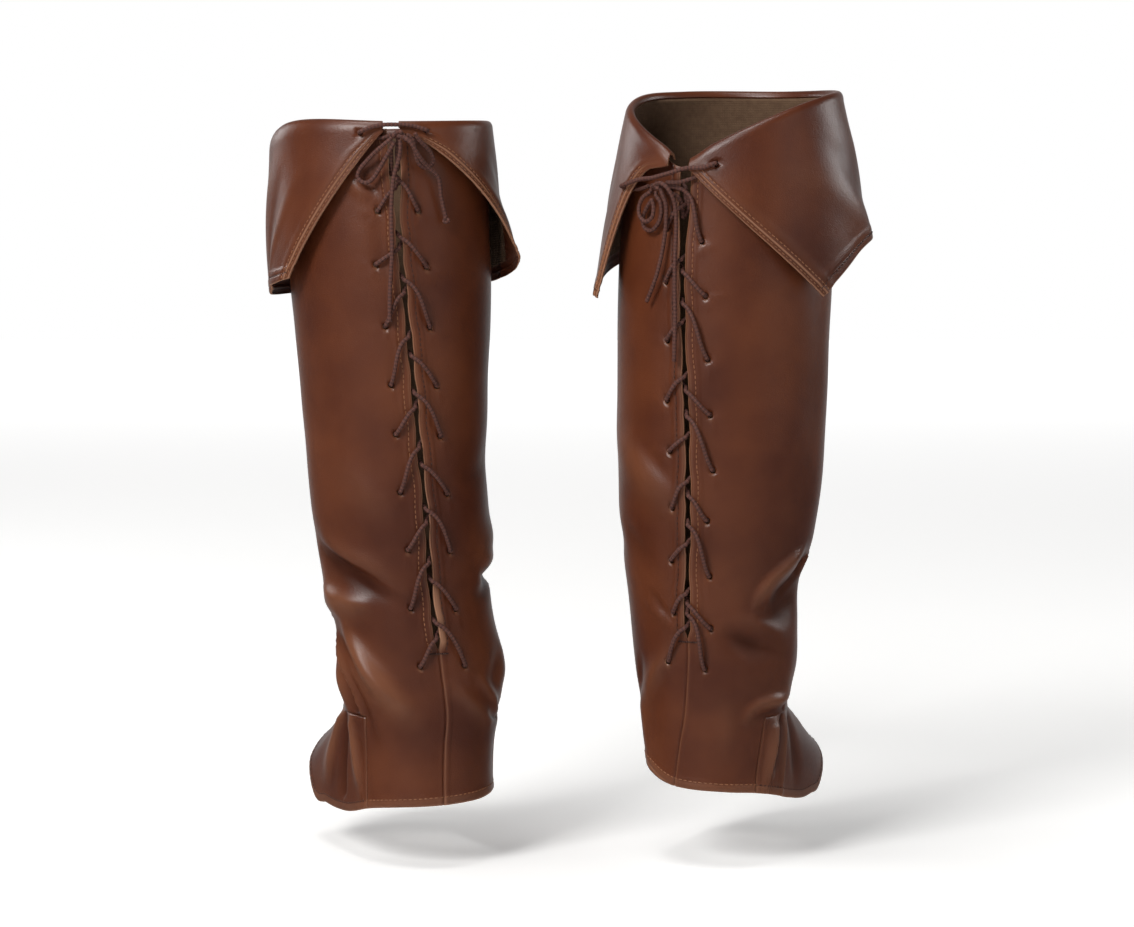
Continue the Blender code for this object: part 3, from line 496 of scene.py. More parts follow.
def hem_height(cover, angle):
    """Height of the bottom hem at an angle from the centre back seam."""
    return around(HEM[cover], angle + along(SECTIONS[cover], "seam", HEM_LEVEL))


def lace_hole_places(cover):
    """Each punched hole as a distance across, a height, and the height at which its strand leaves the slit."""
    rows = LACE_ROWS[cover]
    return [place for row in rows for place in ((-row.left_out, row.left_hole, row.left_apex),
                                                (row.right_out, row.right_hole, row.right_apex))]


def hem_relief(height):
    """The hem by height above its edge: two plies, a groove pressed by the stitches, and a rounded rim."""
    return (TURNED_RISE * step_down(height, HEM_BAND + 0.8, 0.35) - 0.45 * bump_at(height - HEM_STITCH, 0.7)
            - 0.5 * bump_at(height, 0.8))


def hem_wear(height):
    """How pale the hem is worn, by height above its edge."""
    return 0.4 * bump_at(height, 0.6) + 0.14 * step_down(height, HEM_STITCH, 0.3)


def off_front(angle):
    """1 on the back and sides, fading to 0 at the centre front."""
    return np.clip((180 - np.abs(wrapped(angle))) / FRONT_FADE, 0, 1)


def shaft_relief(cover, angle, z, from_slit):
    """What the sewing, the lace and the creases add to a shaft, and how pale it is worn there."""
    across = across_at(cover, angle, z)
    opened = np.clip((z - SLIT_END[cover]) / SLIT_CLOSING, 0, 1)
    above_hem = z - hem_height(cover, angle)
    settled = np.clip((z - ANKLE_SEAM) / 9, 0, 1) ** 0.5 + step_down(np.abs(wrapped(angle)), SIDE_SEAM - 4, 1.2)
    height = crease_height(CREASES[cover], across, z) * np.minimum(settled, 1)
    height += slack(WAVE_SEEDS[cover], across, z, 0.45, 95.0) * off_front(angle)
    edge = (TURNED_RISE * step_down(from_slit, EDGE_BAND, 0.45) - 0.4 * bump_at(from_slit - EDGE_STITCH, 0.6)
            - 0.45 * bump_at(from_slit, 0.6))
    seam = (0.5 * step_down(across, SEAM_BAND, 0.4) * (across > 0) - 0.8 * bump_at(across, 0.75)
            + 0.25 * bump_at(across + 1.6, 1.0))
    height += edge * opened + seam * (1 - opened) * step_down(np.abs(across), 30, 2)
    height += hem_relief(above_hem)
    pale = (0.6 * bump_at(from_slit, 0.5) + 0.25 * bump_at(from_slit - 1.9, 0.4)) * opened
    if cover == "left":
        # this slit's right edge is turned outwards low down and shows its worn rim
        pale += 0.5 * step_down(z, -282, 4) * step_down(from_slit, EDGE_STITCH - 0.8, 0.4) * opened * (across > 0)
    pale += 0.22 * bump_at(across - 1.0, 0.5) * (1 - opened) + hem_wear(above_hem)
    # the lace dents the cloth at each hole and pulls two short puckers towards it
    random = np.random.default_rng(PUCKER_SEEDS[cover])
    for out, hole, apex in lace_hole_places(cover):
        height += -0.55 * bump_at(np.hypot(across - out, z - hole), 3.6)
        pale += 0.4 * bump_at(np.hypot(across - out, (z - hole + 2.6) * 1.6), 1.3)
        towards = np.array([-out, apex - hole], float)
        towards /= np.linalg.norm(towards)
        near = (np.abs(across - out) < 26) & (np.abs(z - hole) < 26)
        for turn in (-0.5, 0.45):
            bend = turn + random.uniform(-0.2, 0.2)
            way = np.array([towards[0] * np.cos(bend) - towards[1] * np.sin(bend),
                            towards[0] * np.sin(bend) + towards[1] * np.cos(bend)])
            start = np.array([out, hole]) - 2.0 * way
            away = np.array([out, hole]) - way * random.uniform(11, 17)
            pucker = Crease([start, away], 2.2, 2.2, random.uniform(0.25, 0.45), 0.6, 0)
            height[near] += crease_height([pucker], across[near], z[near])
    return height, np.clip(pale, 0, 1)


def cloth_wall(cover, angle, z, relief):
    """The outside of the cloth with its relief, and its inside, the cloth's thickness within."""
    step = lifted(cover, angle, z, np.ones_like(z)) - surface(cover, angle, z)
    level = np.clip(np.hypot(step[..., 0], step[..., 1]), 0.4, 1.0)
    return surface(cover, angle, z, relief), surface(cover, angle, z, relief - CLOTH / level)


def grid_mesh(name, outer, inner, keep, joined, leather_inside, pale, painted_fold_shading):
    """A closed wall between two grids of points, its inner side backing except where leather is turned in."""
    rows, columns = keep.shape
    count = (rows + 1) * (columns + 1)
    number = np.arange(count).reshape(rows + 1, columns + 1)
    quads = np.stack([number[:-1, :-1], number[1:, :-1], number[1:, 1:], number[:-1, 1:]], axis=-1)
    outer_faces = quads[keep]
    inner_faces = quads[keep][:, ::-1] + count
    padded = np.pad(keep, 1)
    padded[1:-1, 0] = keep[:, -1] & joined
    padded[1:-1, -1] = keep[:, 0] & joined
    beside = (padded[1:-1, :-2], padded[2:, 1:-1], padded[1:-1, 2:], padded[:-2, 1:-1])
    rims = []
    for corner, neighbour in enumerate(beside):
        open_side = keep & ~neighbour
        start, end = quads[..., corner][open_side], quads[..., (corner + 1) % 4][open_side]
        rims.append(np.stack([end, start, start + count, end + count], axis=-1))
    points = np.vstack([outer.reshape(-1, 3), inner.reshape(-1, 3)]) * MM
    mesh = bpy.data.meshes.new(name)
    mesh.from_pydata(points.tolist(), [], np.vstack([outer_faces, inner_faces, *rims]).tolist())
    slots = np.full(len(mesh.polygons), 2, dtype=np.int32)
    slots[:len(outer_faces)] = 0
    slots[len(outer_faces):2 * len(outer_faces)] = np.where(leather_inside, 0, 1)[keep]
    mesh.polygons.foreach_set("material_index", slots)
    # pale marks worn and cut edges; the other attribute carries painted light and shade from the folds
    for key, values in (("pale", pale), ("painted_fold_shading", painted_fold_shading)):
        attribute = mesh.attributes.new(key, "FLOAT", "POINT")
        attribute.data.foreach_set("value", np.tile(np.asarray(values, dtype=np.float32).ravel(), 2))
    cloth = bmesh.new()
    cloth.from_mesh(mesh)
    bmesh.ops.delete(cloth, geom=[vert for vert in cloth.verts if not vert.link_faces], context="VERTS")
    bmesh.ops.remove_doubles(cloth, verts=cloth.verts, dist=2e-6)
    bmesh.ops.recalc_face_normals(cloth, faces=cloth.faces)
    cloth.to_mesh(mesh)
    cloth.free()
    mesh.shade_smooth()
    return mesh


def put_in_place(piece, node):
    """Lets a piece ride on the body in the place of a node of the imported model."""
    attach(piece, "root")
    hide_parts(node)


def leather_panel(cover, kind, node, walls, keep, joined, leather_inside, pale, painted_fold_shading):
    """A panel of faux leather from its outside and inside, put in the place of its node."""
    name = f"{cover}_{kind}_leather"
    mesh = grid_mesh(name, *walls, keep, joined, leather_inside, pale, painted_fold_shading)
    panel = new_object(name, mesh, LEATHER, BACKING, CUT_EDGE)
    put_in_place(panel, f"{cover}_{node}")
    return panel


def repeats(count, over):
    """The scale at which a pattern repeats so many times over so many millimetres."""
    return count / (over * MM)


# Faux leather is a polyurethane film cast on paper, so its face is smooth with a shallow even grain and a broad
# waxy sheen. It is paler where its edges are worn, and its tone drifts a little over a hand's breadth. On the
# ridges of folds it is painted paler, partly for stretch and partly as painted highlight, and in their troughs it
# is painted darker as painted shade.
def faux_leather(name, base, deep, ridge_light_colour):
    leather, shader, add = new_material(name)
    place = add("ShaderNodeTexCoord").outputs["Object"]
    drift = add("ShaderNodeTexNoise", [(place, "Vector")], Scale=repeats(7, 500), Detail=3.0, Roughness=0.55)
    drift_range = add("ShaderNodeMapRange", [(drift.outputs["Fac"], "Value")], From_Min=0.35, From_Max=0.65)
    tone = add("ShaderNodeMix", [(drift_range.outputs["Result"], "Factor")], data_type="RGBA",
               A=linear(base), B=linear(deep))
    ridge_light = add("ShaderNodeAttribute", attribute_name="painted_fold_shading").outputs["Fac"]
    crease_shade = add("ShaderNodeMath", [(ridge_light, 0), (-1.0, 1)], operation="MULTIPLY").outputs["Value"]
    rubbed = add("ShaderNodeAttribute", attribute_name="pale").outputs["Fac"]
    # painted light on the ridges of folds, partly also stretch; painted shade in their troughs; pale worn edges
    for share, colour in ((ridge_light, ridge_light_colour), (crease_shade, "#2e140c"), (rubbed, "#a97a5c")):
        tone = add("ShaderNodeMix", [(share, "Factor"), (tone.outputs["Result"], "A")], data_type="RGBA",
                   B=linear(colour))
    # the grain is 0.8 mm across here, twice the real one, so that it still shows
    grain = add("ShaderNodeTexVoronoi", [(place, "Vector")], Scale=repeats(10, 8))
    mottle = add("ShaderNodeTexNoise", [(place, "Vector")], Scale=repeats(42, 100), Detail=4.0)
    relief = add("ShaderNodeMath", [(grain.outputs["Distance"], 0), (mottle.outputs["Fac"], 1)], operation="ADD")
    bump = add("ShaderNodeBump", [(relief.outputs["Value"], "Height")], Strength=0.24, Distance=0.3 * MM)
    polish = add("ShaderNodeMapRange", [(mottle.outputs["Fac"], "Value")], To_Min=0.32, To_Max=0.43)
    # the painted shade deep in a fold also turns its shine down, so that the fold looks darker
    crease_shine_level = add("ShaderNodeMapRange", [(crease_shade, "Value")], To_Min=0.5, To_Max=0.1)
    add(shader, [(tone.outputs["Result"], "Base Color"), (bump.outputs["Normal"], "Normal"),
                 (polish.outputs["Result"], "Roughness"), (crease_shine_level.outputs["Result"], "Specular IOR Level")])
    return leather


# The backing is a napped plain weave of polyester, dull and dusty beige-brown, with threads about 0.6 mm apart
# that are drawn at twice that to show.
def woven_backing(name):
    backing, shader, add = new_material(name)
    place = add("ShaderNodeTexCoord").outputs["Object"]
    nap = add("ShaderNodeTexNoise", [(place, "Vector")], Scale=repeats(26, 100), Detail=5.0)
    tone = add("ShaderNodeMix", [(nap.outputs["Fac"], "Factor")], data_type="RGBA",
               A=linear("#4f3a2c"), B=linear("#6e5642"))
    # one band of a wave is pi / 10 of a repeat wide, which puts these threads 1.2 mm apart
    threads = [add("ShaderNodeTexWave", [(place, "Vector")], bands_direction=way, Distortion=1.5,
                   Scale=repeats(26, 100)) for way in ("Z", "X")]
    weave = add("ShaderNodeMath", [(thread.outputs["Fac"], k) for k, thread in enumerate(threads)],
                operation="MULTIPLY")
    bump = add("ShaderNodeBump", [(weave.outputs["Value"], "Height")], Strength=0.5, Distance=0.4 * MM)
    add(shader, [(tone.outputs["Result"], "Base Color"), (bump.outputs["Normal"], "Normal")], Roughness=0.95,
        Specular_IOR_Level=0.2)
    return backing


# A cut edge shows the pale foam between film and weave, dull and a little ragged.
def raw_edge(name):
    cut, shader, add = new_material(name)
    place = add("ShaderNodeTexCoord").outputs["Object"]
    fibres = add("ShaderNodeTexNoise", [(place, "Vector")], Scale=repeats(9, 10), Detail=3.0)
    tone = add("ShaderNodeMix", [(fibres.outputs["Fac"], "Factor")], data_type="RGBA",
               A=linear("#7a4c35"), B=linear("#a87b5e"))
    bump = add("ShaderNodeBump", [(fibres.outputs["Fac"], "Height")], Strength=0.4, Distance=0.3 * MM)
    add(shader, [(tone.outputs["Result"], "Base Color"), (bump.outputs["Normal"], "Normal")], Roughness=0.9)
    return cut


# the last colour is the painted highlight on the ridges of folds, partly also their stretch
LEATHER = faux_leather("pressed_faux_leather", "#613119", "#4c2211", "#7d4f36")
BACKING = woven_backing("woven_polyester_backing")
CUT_EDGE = raw_edge("cut_edge_of_faux_leather")

# columns of the fine grid: distances from the slit's edge in its neighbourhood, then even steps round the side and
# the front; rows beside the slit, down to the ankle, and over the heel
EDGE_STEPS = [0, 0.4, 0.9, 1.6, 2.5, 3.5, 4.4, 5, 5.6, 6.4, 7.4, 8.3, 9, 9.8, 10.8, 12, 13.2, 14.4, 15.6, 16.8, 18,
              19.4, 21, 23, 25.5, 28.5]
EDGE_RADIUS = 65.0
SIDE_STEPS = 22
FRONT_STEPS = 54
SLIT_ROWS = 164
SHIN_ROWS = 26
HEEL_ROWS = 36
side_angles = np.degrees(np.array(EDGE_STEPS) / EDGE_RADIUS)
side_angles = np.concatenate([side_angles, np.linspace(side_angles[-1], SIDE_SEAM, SIDE_STEPS + 1)[1:],
                              np.linspace(SIDE_SEAM, 180, FRONT_STEPS + 1)[1:]])
SHAFT_ANGLES = np.concatenate([side_angles, 360 - side_angles[-2::-1]])


def fitted_angles(cover, nominal, z):
    """Angles of the grid's columns at a height: near the slit they keep their distance from its edge."""
    from_back = np.minimum(nominal, 360 - nominal)
    back = along(SECTIONS[cover], "back", z)
    half = slit_gap(cover, z)
    last = EDGE_STEPS[-1]
    near = np.degrees((half + np.radians(from_back) * EDGE_RADIUS) / back)
    near_end = np.degrees((half + last) / back)
    share = (from_back - np.degrees(last / EDGE_RADIUS)) / (SIDE_SEAM - np.degrees(last / EDGE_RADIUS))
    middle = near_end + (SIDE_SEAM - near_end) * np.clip(share, 0, 1)
    fitted = np.where(share <= 0, near, np.where(share < 1, middle, from_back))
    return np.where(nominal <= 180, fitted, 360 - fitted)


def drawn_to_circle(inside, away, radius):
    """The grid's points round the cells inside a hole, and how far each is drawn to the hole's circle."""
    corners = np.zeros(away.shape, bool)
    for down in (0, 1):
        for over in (0, 1):
            corners[down:down + inside.shape[0], over:over + inside.shape[1]] |= inside
    return corners, np.where(corners & (away > 0.2), radius / np.maximum(away, 0.2), 1.0)


def punched(cover, angle, z, keep):
    """Leaves out the grid's cells inside each lace hole and draws their border to a circle."""
    across = across_at(cover, angle, z)
    mid_across = (across[:-1, :-1] + across[1:, 1:]) / 2
    mid_z = (z[:-1, :-1] + z[1:, 1:]) / 2
    for out, hole, _ in lace_hole_places(cover):
        inside = np.hypot(mid_across - out, mid_z - hole) < HOLE_RADIUS
        corners, pull = drawn_to_circle(inside, np.hypot(across - out, z - hole), HOLE_RADIUS)
        new_z = hole + (z - hole) * pull
        shifted = angle_at(cover, out + (across - out) * pull, new_z)
        angle = np.where(corners, np.where(angle > 180, 360 + shifted, shifted), angle)
        z = np.where(corners, new_z, z)
        keep = keep & ~inside
    return angle, z, keep


for cover in COVERS:
    nominal = SHAFT_ANGLES
    tops = around(TOP[cover], nominal) - TOP_ROLL
    hems = hem_height(cover, nominal)
    slit_ends, ankles = np.full_like(tops, SLIT_END[cover]), np.full_like(tops, ANKLE_SEAM)
    z = np.vstack([np.linspace(tops, slit_ends, SLIT_ROWS), np.linspace(slit_ends, ankles, SHIN_ROWS + 1)[1:],
                   np.linspace(ankles, hems, HEEL_ROWS + 1)[1:]])
    angle = fitted_angles(cover, np.broadcast_to(nominal, z.shape), z)
    from_slit = np.broadcast_to(np.radians(np.minimum(nominal, 360 - nominal)) * EDGE_RADIUS, z.shape)
    in_front = (nominal[:-1] >= SIDE_SEAM - 0.01) & (nominal[1:] <= 360 - SIDE_SEAM + 0.01)
    above_ankle = np.arange(len(z) - 1) < SLIT_ROWS + SHIN_ROWS - 1
    keep = above_ankle[:, None] | ~in_front[None, :]
    angle, z, keep = punched(cover, angle, z, keep)
    relief, pale = shaft_relief(cover, angle, z, from_slit)
    turned_in = (from_slit[:-1, :-1] < EDGE_BAND) | ((z - hem_height(cover, angle))[1:, :-1] < HEM_BAND)
    joined = z[:-1, 0] <= SLIT_END[cover] + 0.01
    # painted light and shade from the folds and creases: paler on their ridges, darker in their troughs
    creased = crease_height(CREASES[cover], across_at(cover, angle, z), z) + fold_height(cover, angle, z)
    painted_fold_shading = np.clip(np.where(creased < 0, creased / 6, creased / 9), -0.7, 0.5)
    shaft = leather_panel(cover, "shaft", "shaft", cloth_wall(cover, angle, z, relief), keep, joined, turned_in,
                          pale, painted_fold_shading)

# ---------------------------------------------------------------- foot pieces
# Each foot piece is a curved panel of the same faux leather, cut to flare over the instep. It is sewn to the shaft
# along the ankle and down both sides of the heel, and its free edge is turned up and topstitched.
FOOT_CREASES = {
    "left": [
        Crease([(-82, -371), (-77, -392), (-69, -424)], 4.5, 7, 4.2, 0.5, 0.2),
        Crease([(-91, -372), (-95, -396), (-96, -430)], 2.4, 4.5, -4.0, 1, 0.5),
        Crease([(-101, -372), (-110, -392), (-116, -425)], 4, 5, 3.8, 1, 0.3),
        Crease([(-112, -374), (-128, -392), (-134, -414)], 3, 5, -3.0, 1, 0.2),
        Crease([(-132, -372), (-150, -388), (-164, -402)], 6, 6, 2.0, 1, 0),
        Crease([(84, -372), (92, -390), (104, -424)], 5, 6, 2.8, 1, 0.2),
        Crease([(104, -372), (112, -392), (124, -420)], 4, 5, -2.8, 1, 0.2),
        Crease([(-160, -372), (-172, -384), (-178, -396)], 7, 7, 1.8, 1, 0),
        Crease([(150, -372), (156, -384), (160, -398)], 7, 7, 1.8, 1, 0),
    ],
    "right": [
        Crease([(80, -371), (77, -390), (69, -424)], 2.6, 8, 3.8, 0.4, 0.2),
        Crease([(89, -372), (87, -390), (80, -412)], 2.4, 3.4, -4.2, 1, 0.2),
        Crease([(98, -372), (95, -392), (90, -428)], 3.2, 3.6, 3.0, 0.4, 0.3),
        Crease([(112, -372), (116, -392), (118, -424)], 5, 6, -2.4, 1, 0.2),
        Crease([(130, -372), (142, -388), (152, -402)], 6, 6, 2.2, 1, 0),
        Crease([(-84, -372), (-92, -390), (-104, -416)], 5, 6, 2.8, 1, 0.2),
        Crease([(-108, -372), (-118, -388), (-132, -404)], 4, 5, -2.8, 1, 0),
        Crease([(-150, -372), (-158, -382), (-166, -392)], 7, 7, 1.8, 1, 0),
    ],
}
FOOT_COLUMNS = 190
FOOT_ROWS = 60
FOOT_WAVE_SEED = 31
HEEL_RADIUS = 50.0     # a usual one, for the gap at a side seam


def foot_relief(cover, angle, z):
    """What the sewing and the creases add to a foot piece, what the creases add alone, and how pale it is."""
    across = across_at(cover, angle, z)
    above_hem = z - hem_height(cover, angle)
    below_top = ANKLE_SEAM - z
    beside = np.minimum(angle - SIDE_SEAM, 360 - SIDE_SEAM - angle)
    beside = np.radians(beside) * along(SECTIONS[cover], "back", z)
    creased = crease_height(FOOT_CREASES[cover], across, z)
    settled = np.clip(below_top / 8, 0, 1) * np.clip(beside / 10 + 0.2, 0, 1)
    waves = slack(FOOT_WAVE_SEED, across, z, 0.4, 80.0) * np.clip(beside / 20, 0, 1) * off_front(angle)
    relief = creased * settled + waves
    relief += hem_relief(above_hem) - 0.5 * bump_at(below_top, 1.6) - 0.5 * bump_at(beside, 1.0)
    relief += 0.3 * bump_at(beside - 2.6, 1.4)
    return relief, creased, 0.3 * bump_at(beside - 0.6, 0.5) + hem_wear(above_hem)


for cover in COVERS:
    sewn = np.degrees(SEAM_GAP / HEEL_RADIUS)
    nominal = np.linspace(SIDE_SEAM + sewn, 360 - SIDE_SEAM - sewn, FOOT_COLUMNS)
    hems = hem_height(cover, nominal)
    z = np.linspace(np.full_like(hems, ANKLE_SEAM - SEAM_GAP), hems, FOOT_ROWS)
    angle = np.broadcast_to(nominal, z.shape)
    relief, creased, pale = foot_relief(cover, angle, z)
    keep = np.ones((z.shape[0] - 1, z.shape[1] - 1), bool)
    turned_up = (z - hem_height(cover, angle))[1:, :-1] < HEM_BAND
    # painted light and shade from the creases: paler on their ridges, darker in their troughs
    painted_fold_shading = np.clip(np.where(creased < 0, creased / 5, creased / 6), -0.9, 0.6)
    foot = leather_panel(cover, "foot", "foot_piece", cloth_wall(cover, angle, z, relief), keep, False, turned_up,
                         pale, painted_fold_shading)

# ---------------------------------------------------------------- cuffs
# Each cuff is a flared band of faux leather sewn to the shaft's top edge and turned down over it. Its two back
# edges swing apart and end in points. All its free edges are turned in 10 mm and topstitched.
CUFF_BAND = 10.0       # turned in
FACING = 24.0          # leather on the inner side of a back edge
CUFF_STITCH = 5.5      # from a free edge to its topstitch
FLAP_PLY = 3.4         # how far the lower ply of a flap's edge stands out beyond the upper one
PLY_STITCH = 1.9       # from the flap's edge to the topstitch of its lower ply
CUFF_HOLE = 2.2
CUFF_WAVE_SEEDS = {"left": 41, "right": 42}
WELL_CLEAR = 99.0      # stands for a place far from any edge

CuffLine = namedtuple("CuffLine", "fold hem sweep roll flare drop")
CuffHole = namedtuple("CuffHole", "fold drop")

CUFF_LINES = {
    "left": [
        CuffLine(3.4, 75, 0.68, 6.5, 22, 91),
        CuffLine(36, 88, 0.85, 6, 17, 101),
        CuffLine(86, 104, 1, 4.5, 12, 108),
        CuffLine(136, 142, 1, 6, 14, 112),
        CuffLine(186, 186, 1, 7, 15, 114),
        CuffLine(236, 228, 1, 9, 14, 112),
        CuffLine(271, 258, 1, 12, 14, 110),
        CuffLine(318, 280, 1, 9, 15, 110),
        CuffLine(354.6, 297, 0.9, 6.5, 14, 104),
    ],
    "right": [
        CuffLine(3.4, 77, 1, 6.5, 13, 92),
        CuffLine(45, 101, 1, 6, 18, 93),
        CuffLine(96, 121, 1, 6, 27, 98),
        CuffLine(136, 146, 1, 6, 22, 104),
        CuffLine(186, 190, 1, 6, 18, 108),
        CuffLine(236, 238, 1, 6, 16, 110),
        CuffLine(281, 274, 1, 5, 15, 118),
        CuffLine(322, 299, 0.5, 5.5, 17, 115),
        CuffLine(352, 316, 0.3, 8, 22, 97),
    ],
}
TIE_HOLES = {
    "left": [CuffHole(17, 0.0), CuffHole(343, 0.0)],
    "right": [CuffHole(14, 0.06), CuffHole(345, 0.22)],
}

# soft waves of the hanging band, as creases on lines of places (angle on the fold, mm down from it)
CUFF_CREASES = {
    "left": [
        Crease([(24, 20), (30, 60), (40, 110)], 9, 12, 1.2, 0, 1),
        Crease([(60, 0), (66, 60), (78, 110)], 10, 9, -1.4, 0, 1),
        Crease([(96, 10), (104, 60), (110, 110)], 12, 12, 1.2, 0, 1),
        Crease([(150, 0), (152, 60), (156, 110)], 14, 12, -1.6, 0, 1),
        Crease([(196, 10), (200, 60), (206, 110)], 13, 14, 1.5, 0, 1),
        Crease([(248, 0), (244, 60), (240, 110)], 10, 12, -1.5, 0, 1),
        Crease([(282, 6), (275, 60), (268, 110)], 8, 8, 1.2, 0, 1),
        Crease([(300, 10), (296, 60), (286, 110)], 6, 7, -1.0, 0, 1),
        Crease([(318, 20), (310, 70), (296, 110)], 6, 6, 0.8, 0, 0.5),
    ],
    "right": [
        Crease([(30, 10), (56, 50), (96, 95)], 12, 12, 0.9, 0, 0.6),
        Crease([(64, 0), (84, 50), (108, 95)], 9, 11, -1.0, 0, 1),
        Crease([(98, 0), (106, 50), (122, 100)], 7, 9, 1.1, 0.4, 1),
        Crease([(150, 0), (152, 60), (156, 110)], 14, 12, -1.6, 0, 1),
        Crease([(196, 10), (200, 60), (206, 110)], 13, 14, 1.5, 0, 1),
        Crease([(248, 0), (246, 60), (242, 110)], 11, 12, -1.3, 0, 1),
        Crease([(286, 6), (280, 60), (276, 110)], 9, 9, 1.0, 0, 1),
        Crease([(316, 10), (306, 60), (294, 110)], 7, 8, -1.0, 0, 0.6),
    ],
}


def cuff_point(cover, fold, drop_share, roll_share=1.0):
    """Visible side of a cuff: over the fold while roll_share grows to 1, then down as drop_share does."""
    line = {name: along(CUFF_LINES[cover], name, fold) for name in CuffLine._fields[1:]}
    arch = np.pi * np.asarray(roll_share, float)
    outer_side = np.maximum(TOP_ROLL, 1.1 * line["roll"])
    height = np.where(arch < np.pi / 2, TOP_ROLL, outer_side)
    half_arch = (line["roll"] + CLOTH) / 2
    share = np.clip(drop_share, 0.0, None)
    spread = line["roll"] - half_arch * (1 + np.cos(arch)) + (line["flare"] - line["roll"]) * share
    z = around(TOP[cover], fold) - height * (1 - np.sin(arch)) - (line["drop"] - outer_side) * share
    return surface(cover, fold + (line["hem"] - fold) * share ** line["sweep"], z, spread, folded=False)


def cuff_frame(cover, fold, drop_share, roll_share):
    """The way out of a cuff's visible side, and how many mm a degree of the fold is worth across its lines."""
    nudge = 0.01
    after, before = [cuff_point(cover, fold + turn, drop_share, roll_share) for turn in (0.5, -0.5)]
    over = cuff_point(cover, fold, drop_share, roll_share + nudge)
    over -= cuff_point(cover, fold, drop_share, roll_share - nudge)
    down = cuff_point(cover, fold, drop_share + nudge)
    down -= cuff_point(cover, fold, drop_share - nudge)
    onwards = np.where(np.asarray(roll_share)[..., None] < 1, over, down)
    onwards /= np.linalg.norm(onwards, axis=-1, keepdims=True)
    outwards = np.cross(onwards, after - before)
    worth = np.linalg.norm(outwards, axis=-1)
    return outwards / worth[..., None], worth


# columns of the cuff's grid: distances from its back edges, then even steps; rows over the roll, down the drop,
# and closer together over the hem
CUFF_EDGE_STEPS = [0, 0.5, 1.1, 1.8, 2.6, 3.1, 3.5, 4.0, 4.8, 5.5, 6.2, 7.2, 8.4, 9.6, 10.6, 12, 14, 16.5, 19.5]
CUFF_MIDDLE_STEPS = 150
ROLL_ROWS = 12
DROP_ROWS = 44
CUFF_HEM_ROWS = 22
HEM_SHARE = 0.85       # of the drop, where the closer rows begin
DROP_SHARES = np.concatenate([np.linspace(0, HEM_SHARE, DROP_ROWS, endpoint=False),
                              np.linspace(HEM_SHARE, 1, CUFF_HEM_ROWS)])
SETTLED_SHARE = 0.14   # of the drop, by which the columns hang as they do lower down


def cuff_columns(cover, drop_share, roll_share):
    """Angles of the columns in each row, which keep their distance from the back edges, and that distance."""
    first, last = CUFF_LINES[cover][0].fold, CUFF_LINES[cover][-1].fold
    steps = np.array(CUFF_EDGE_STEPS)
    settled = np.clip(drop_share / SETTLED_SHARE, 0, 1)
    turns = []
    for edge in (first + 0.6, last - 0.6):
        hanging = cuff_frame(cover, np.full_like(drop_share, edge), drop_share, roll_share)[1]
        on_fold = cuff_frame(cover, np.full(1, edge), np.zeros(1), np.full(1, 0.9))[1]
        turns.append((1 - settled) / on_fold + settled / hanging)
    start = first + steps[None, :] * turns[0][:, None]
    end = last - steps[None, ::-1] * turns[1][:, None]
    share = np.linspace(0, 1, CUFF_MIDDLE_STEPS + 1)[None, 1:-1]
    middle = start[:, -1:] + (end[:, :1] - start[:, -1:]) * share
    distance = np.concatenate([steps, np.full(CUFF_MIDDLE_STEPS - 1, WELL_CLEAR), steps[::-1]])
    return np.hstack([start, middle, end]), distance


def flap_relief(from_edge):
    """The back edge of a flap: the lower ply stands out beyond the upper one, and both are stitched."""
    return (-0.75 * step_down(from_edge, FLAP_PLY, 0.12) + 0.35 * step_down(from_edge, CUFF_BAND, 0.5)
            - 0.4 * bump_at(from_edge - CUFF_STITCH, 0.55) - 0.3 * bump_at(from_edge - PLY_STITCH, 0.4)
            - 0.4 * bump_at(from_edge, 0.5))


def cuff_grid(cover):
    """Shares of the roll and of the drop, fold angles, and distances from the back edges, of the fine grid."""
    roll_share = np.concatenate([np.linspace(0, 1, ROLL_ROWS, endpoint=False), np.ones(len(DROP_SHARES))])
    drop_share = np.concatenate([np.zeros(ROLL_ROWS), DROP_SHARES])
    fold, from_edge = cuff_columns(cover, drop_share, roll_share)
    return roll_share, drop_share, fold, np.broadcast_to(from_edge, fold.shape)


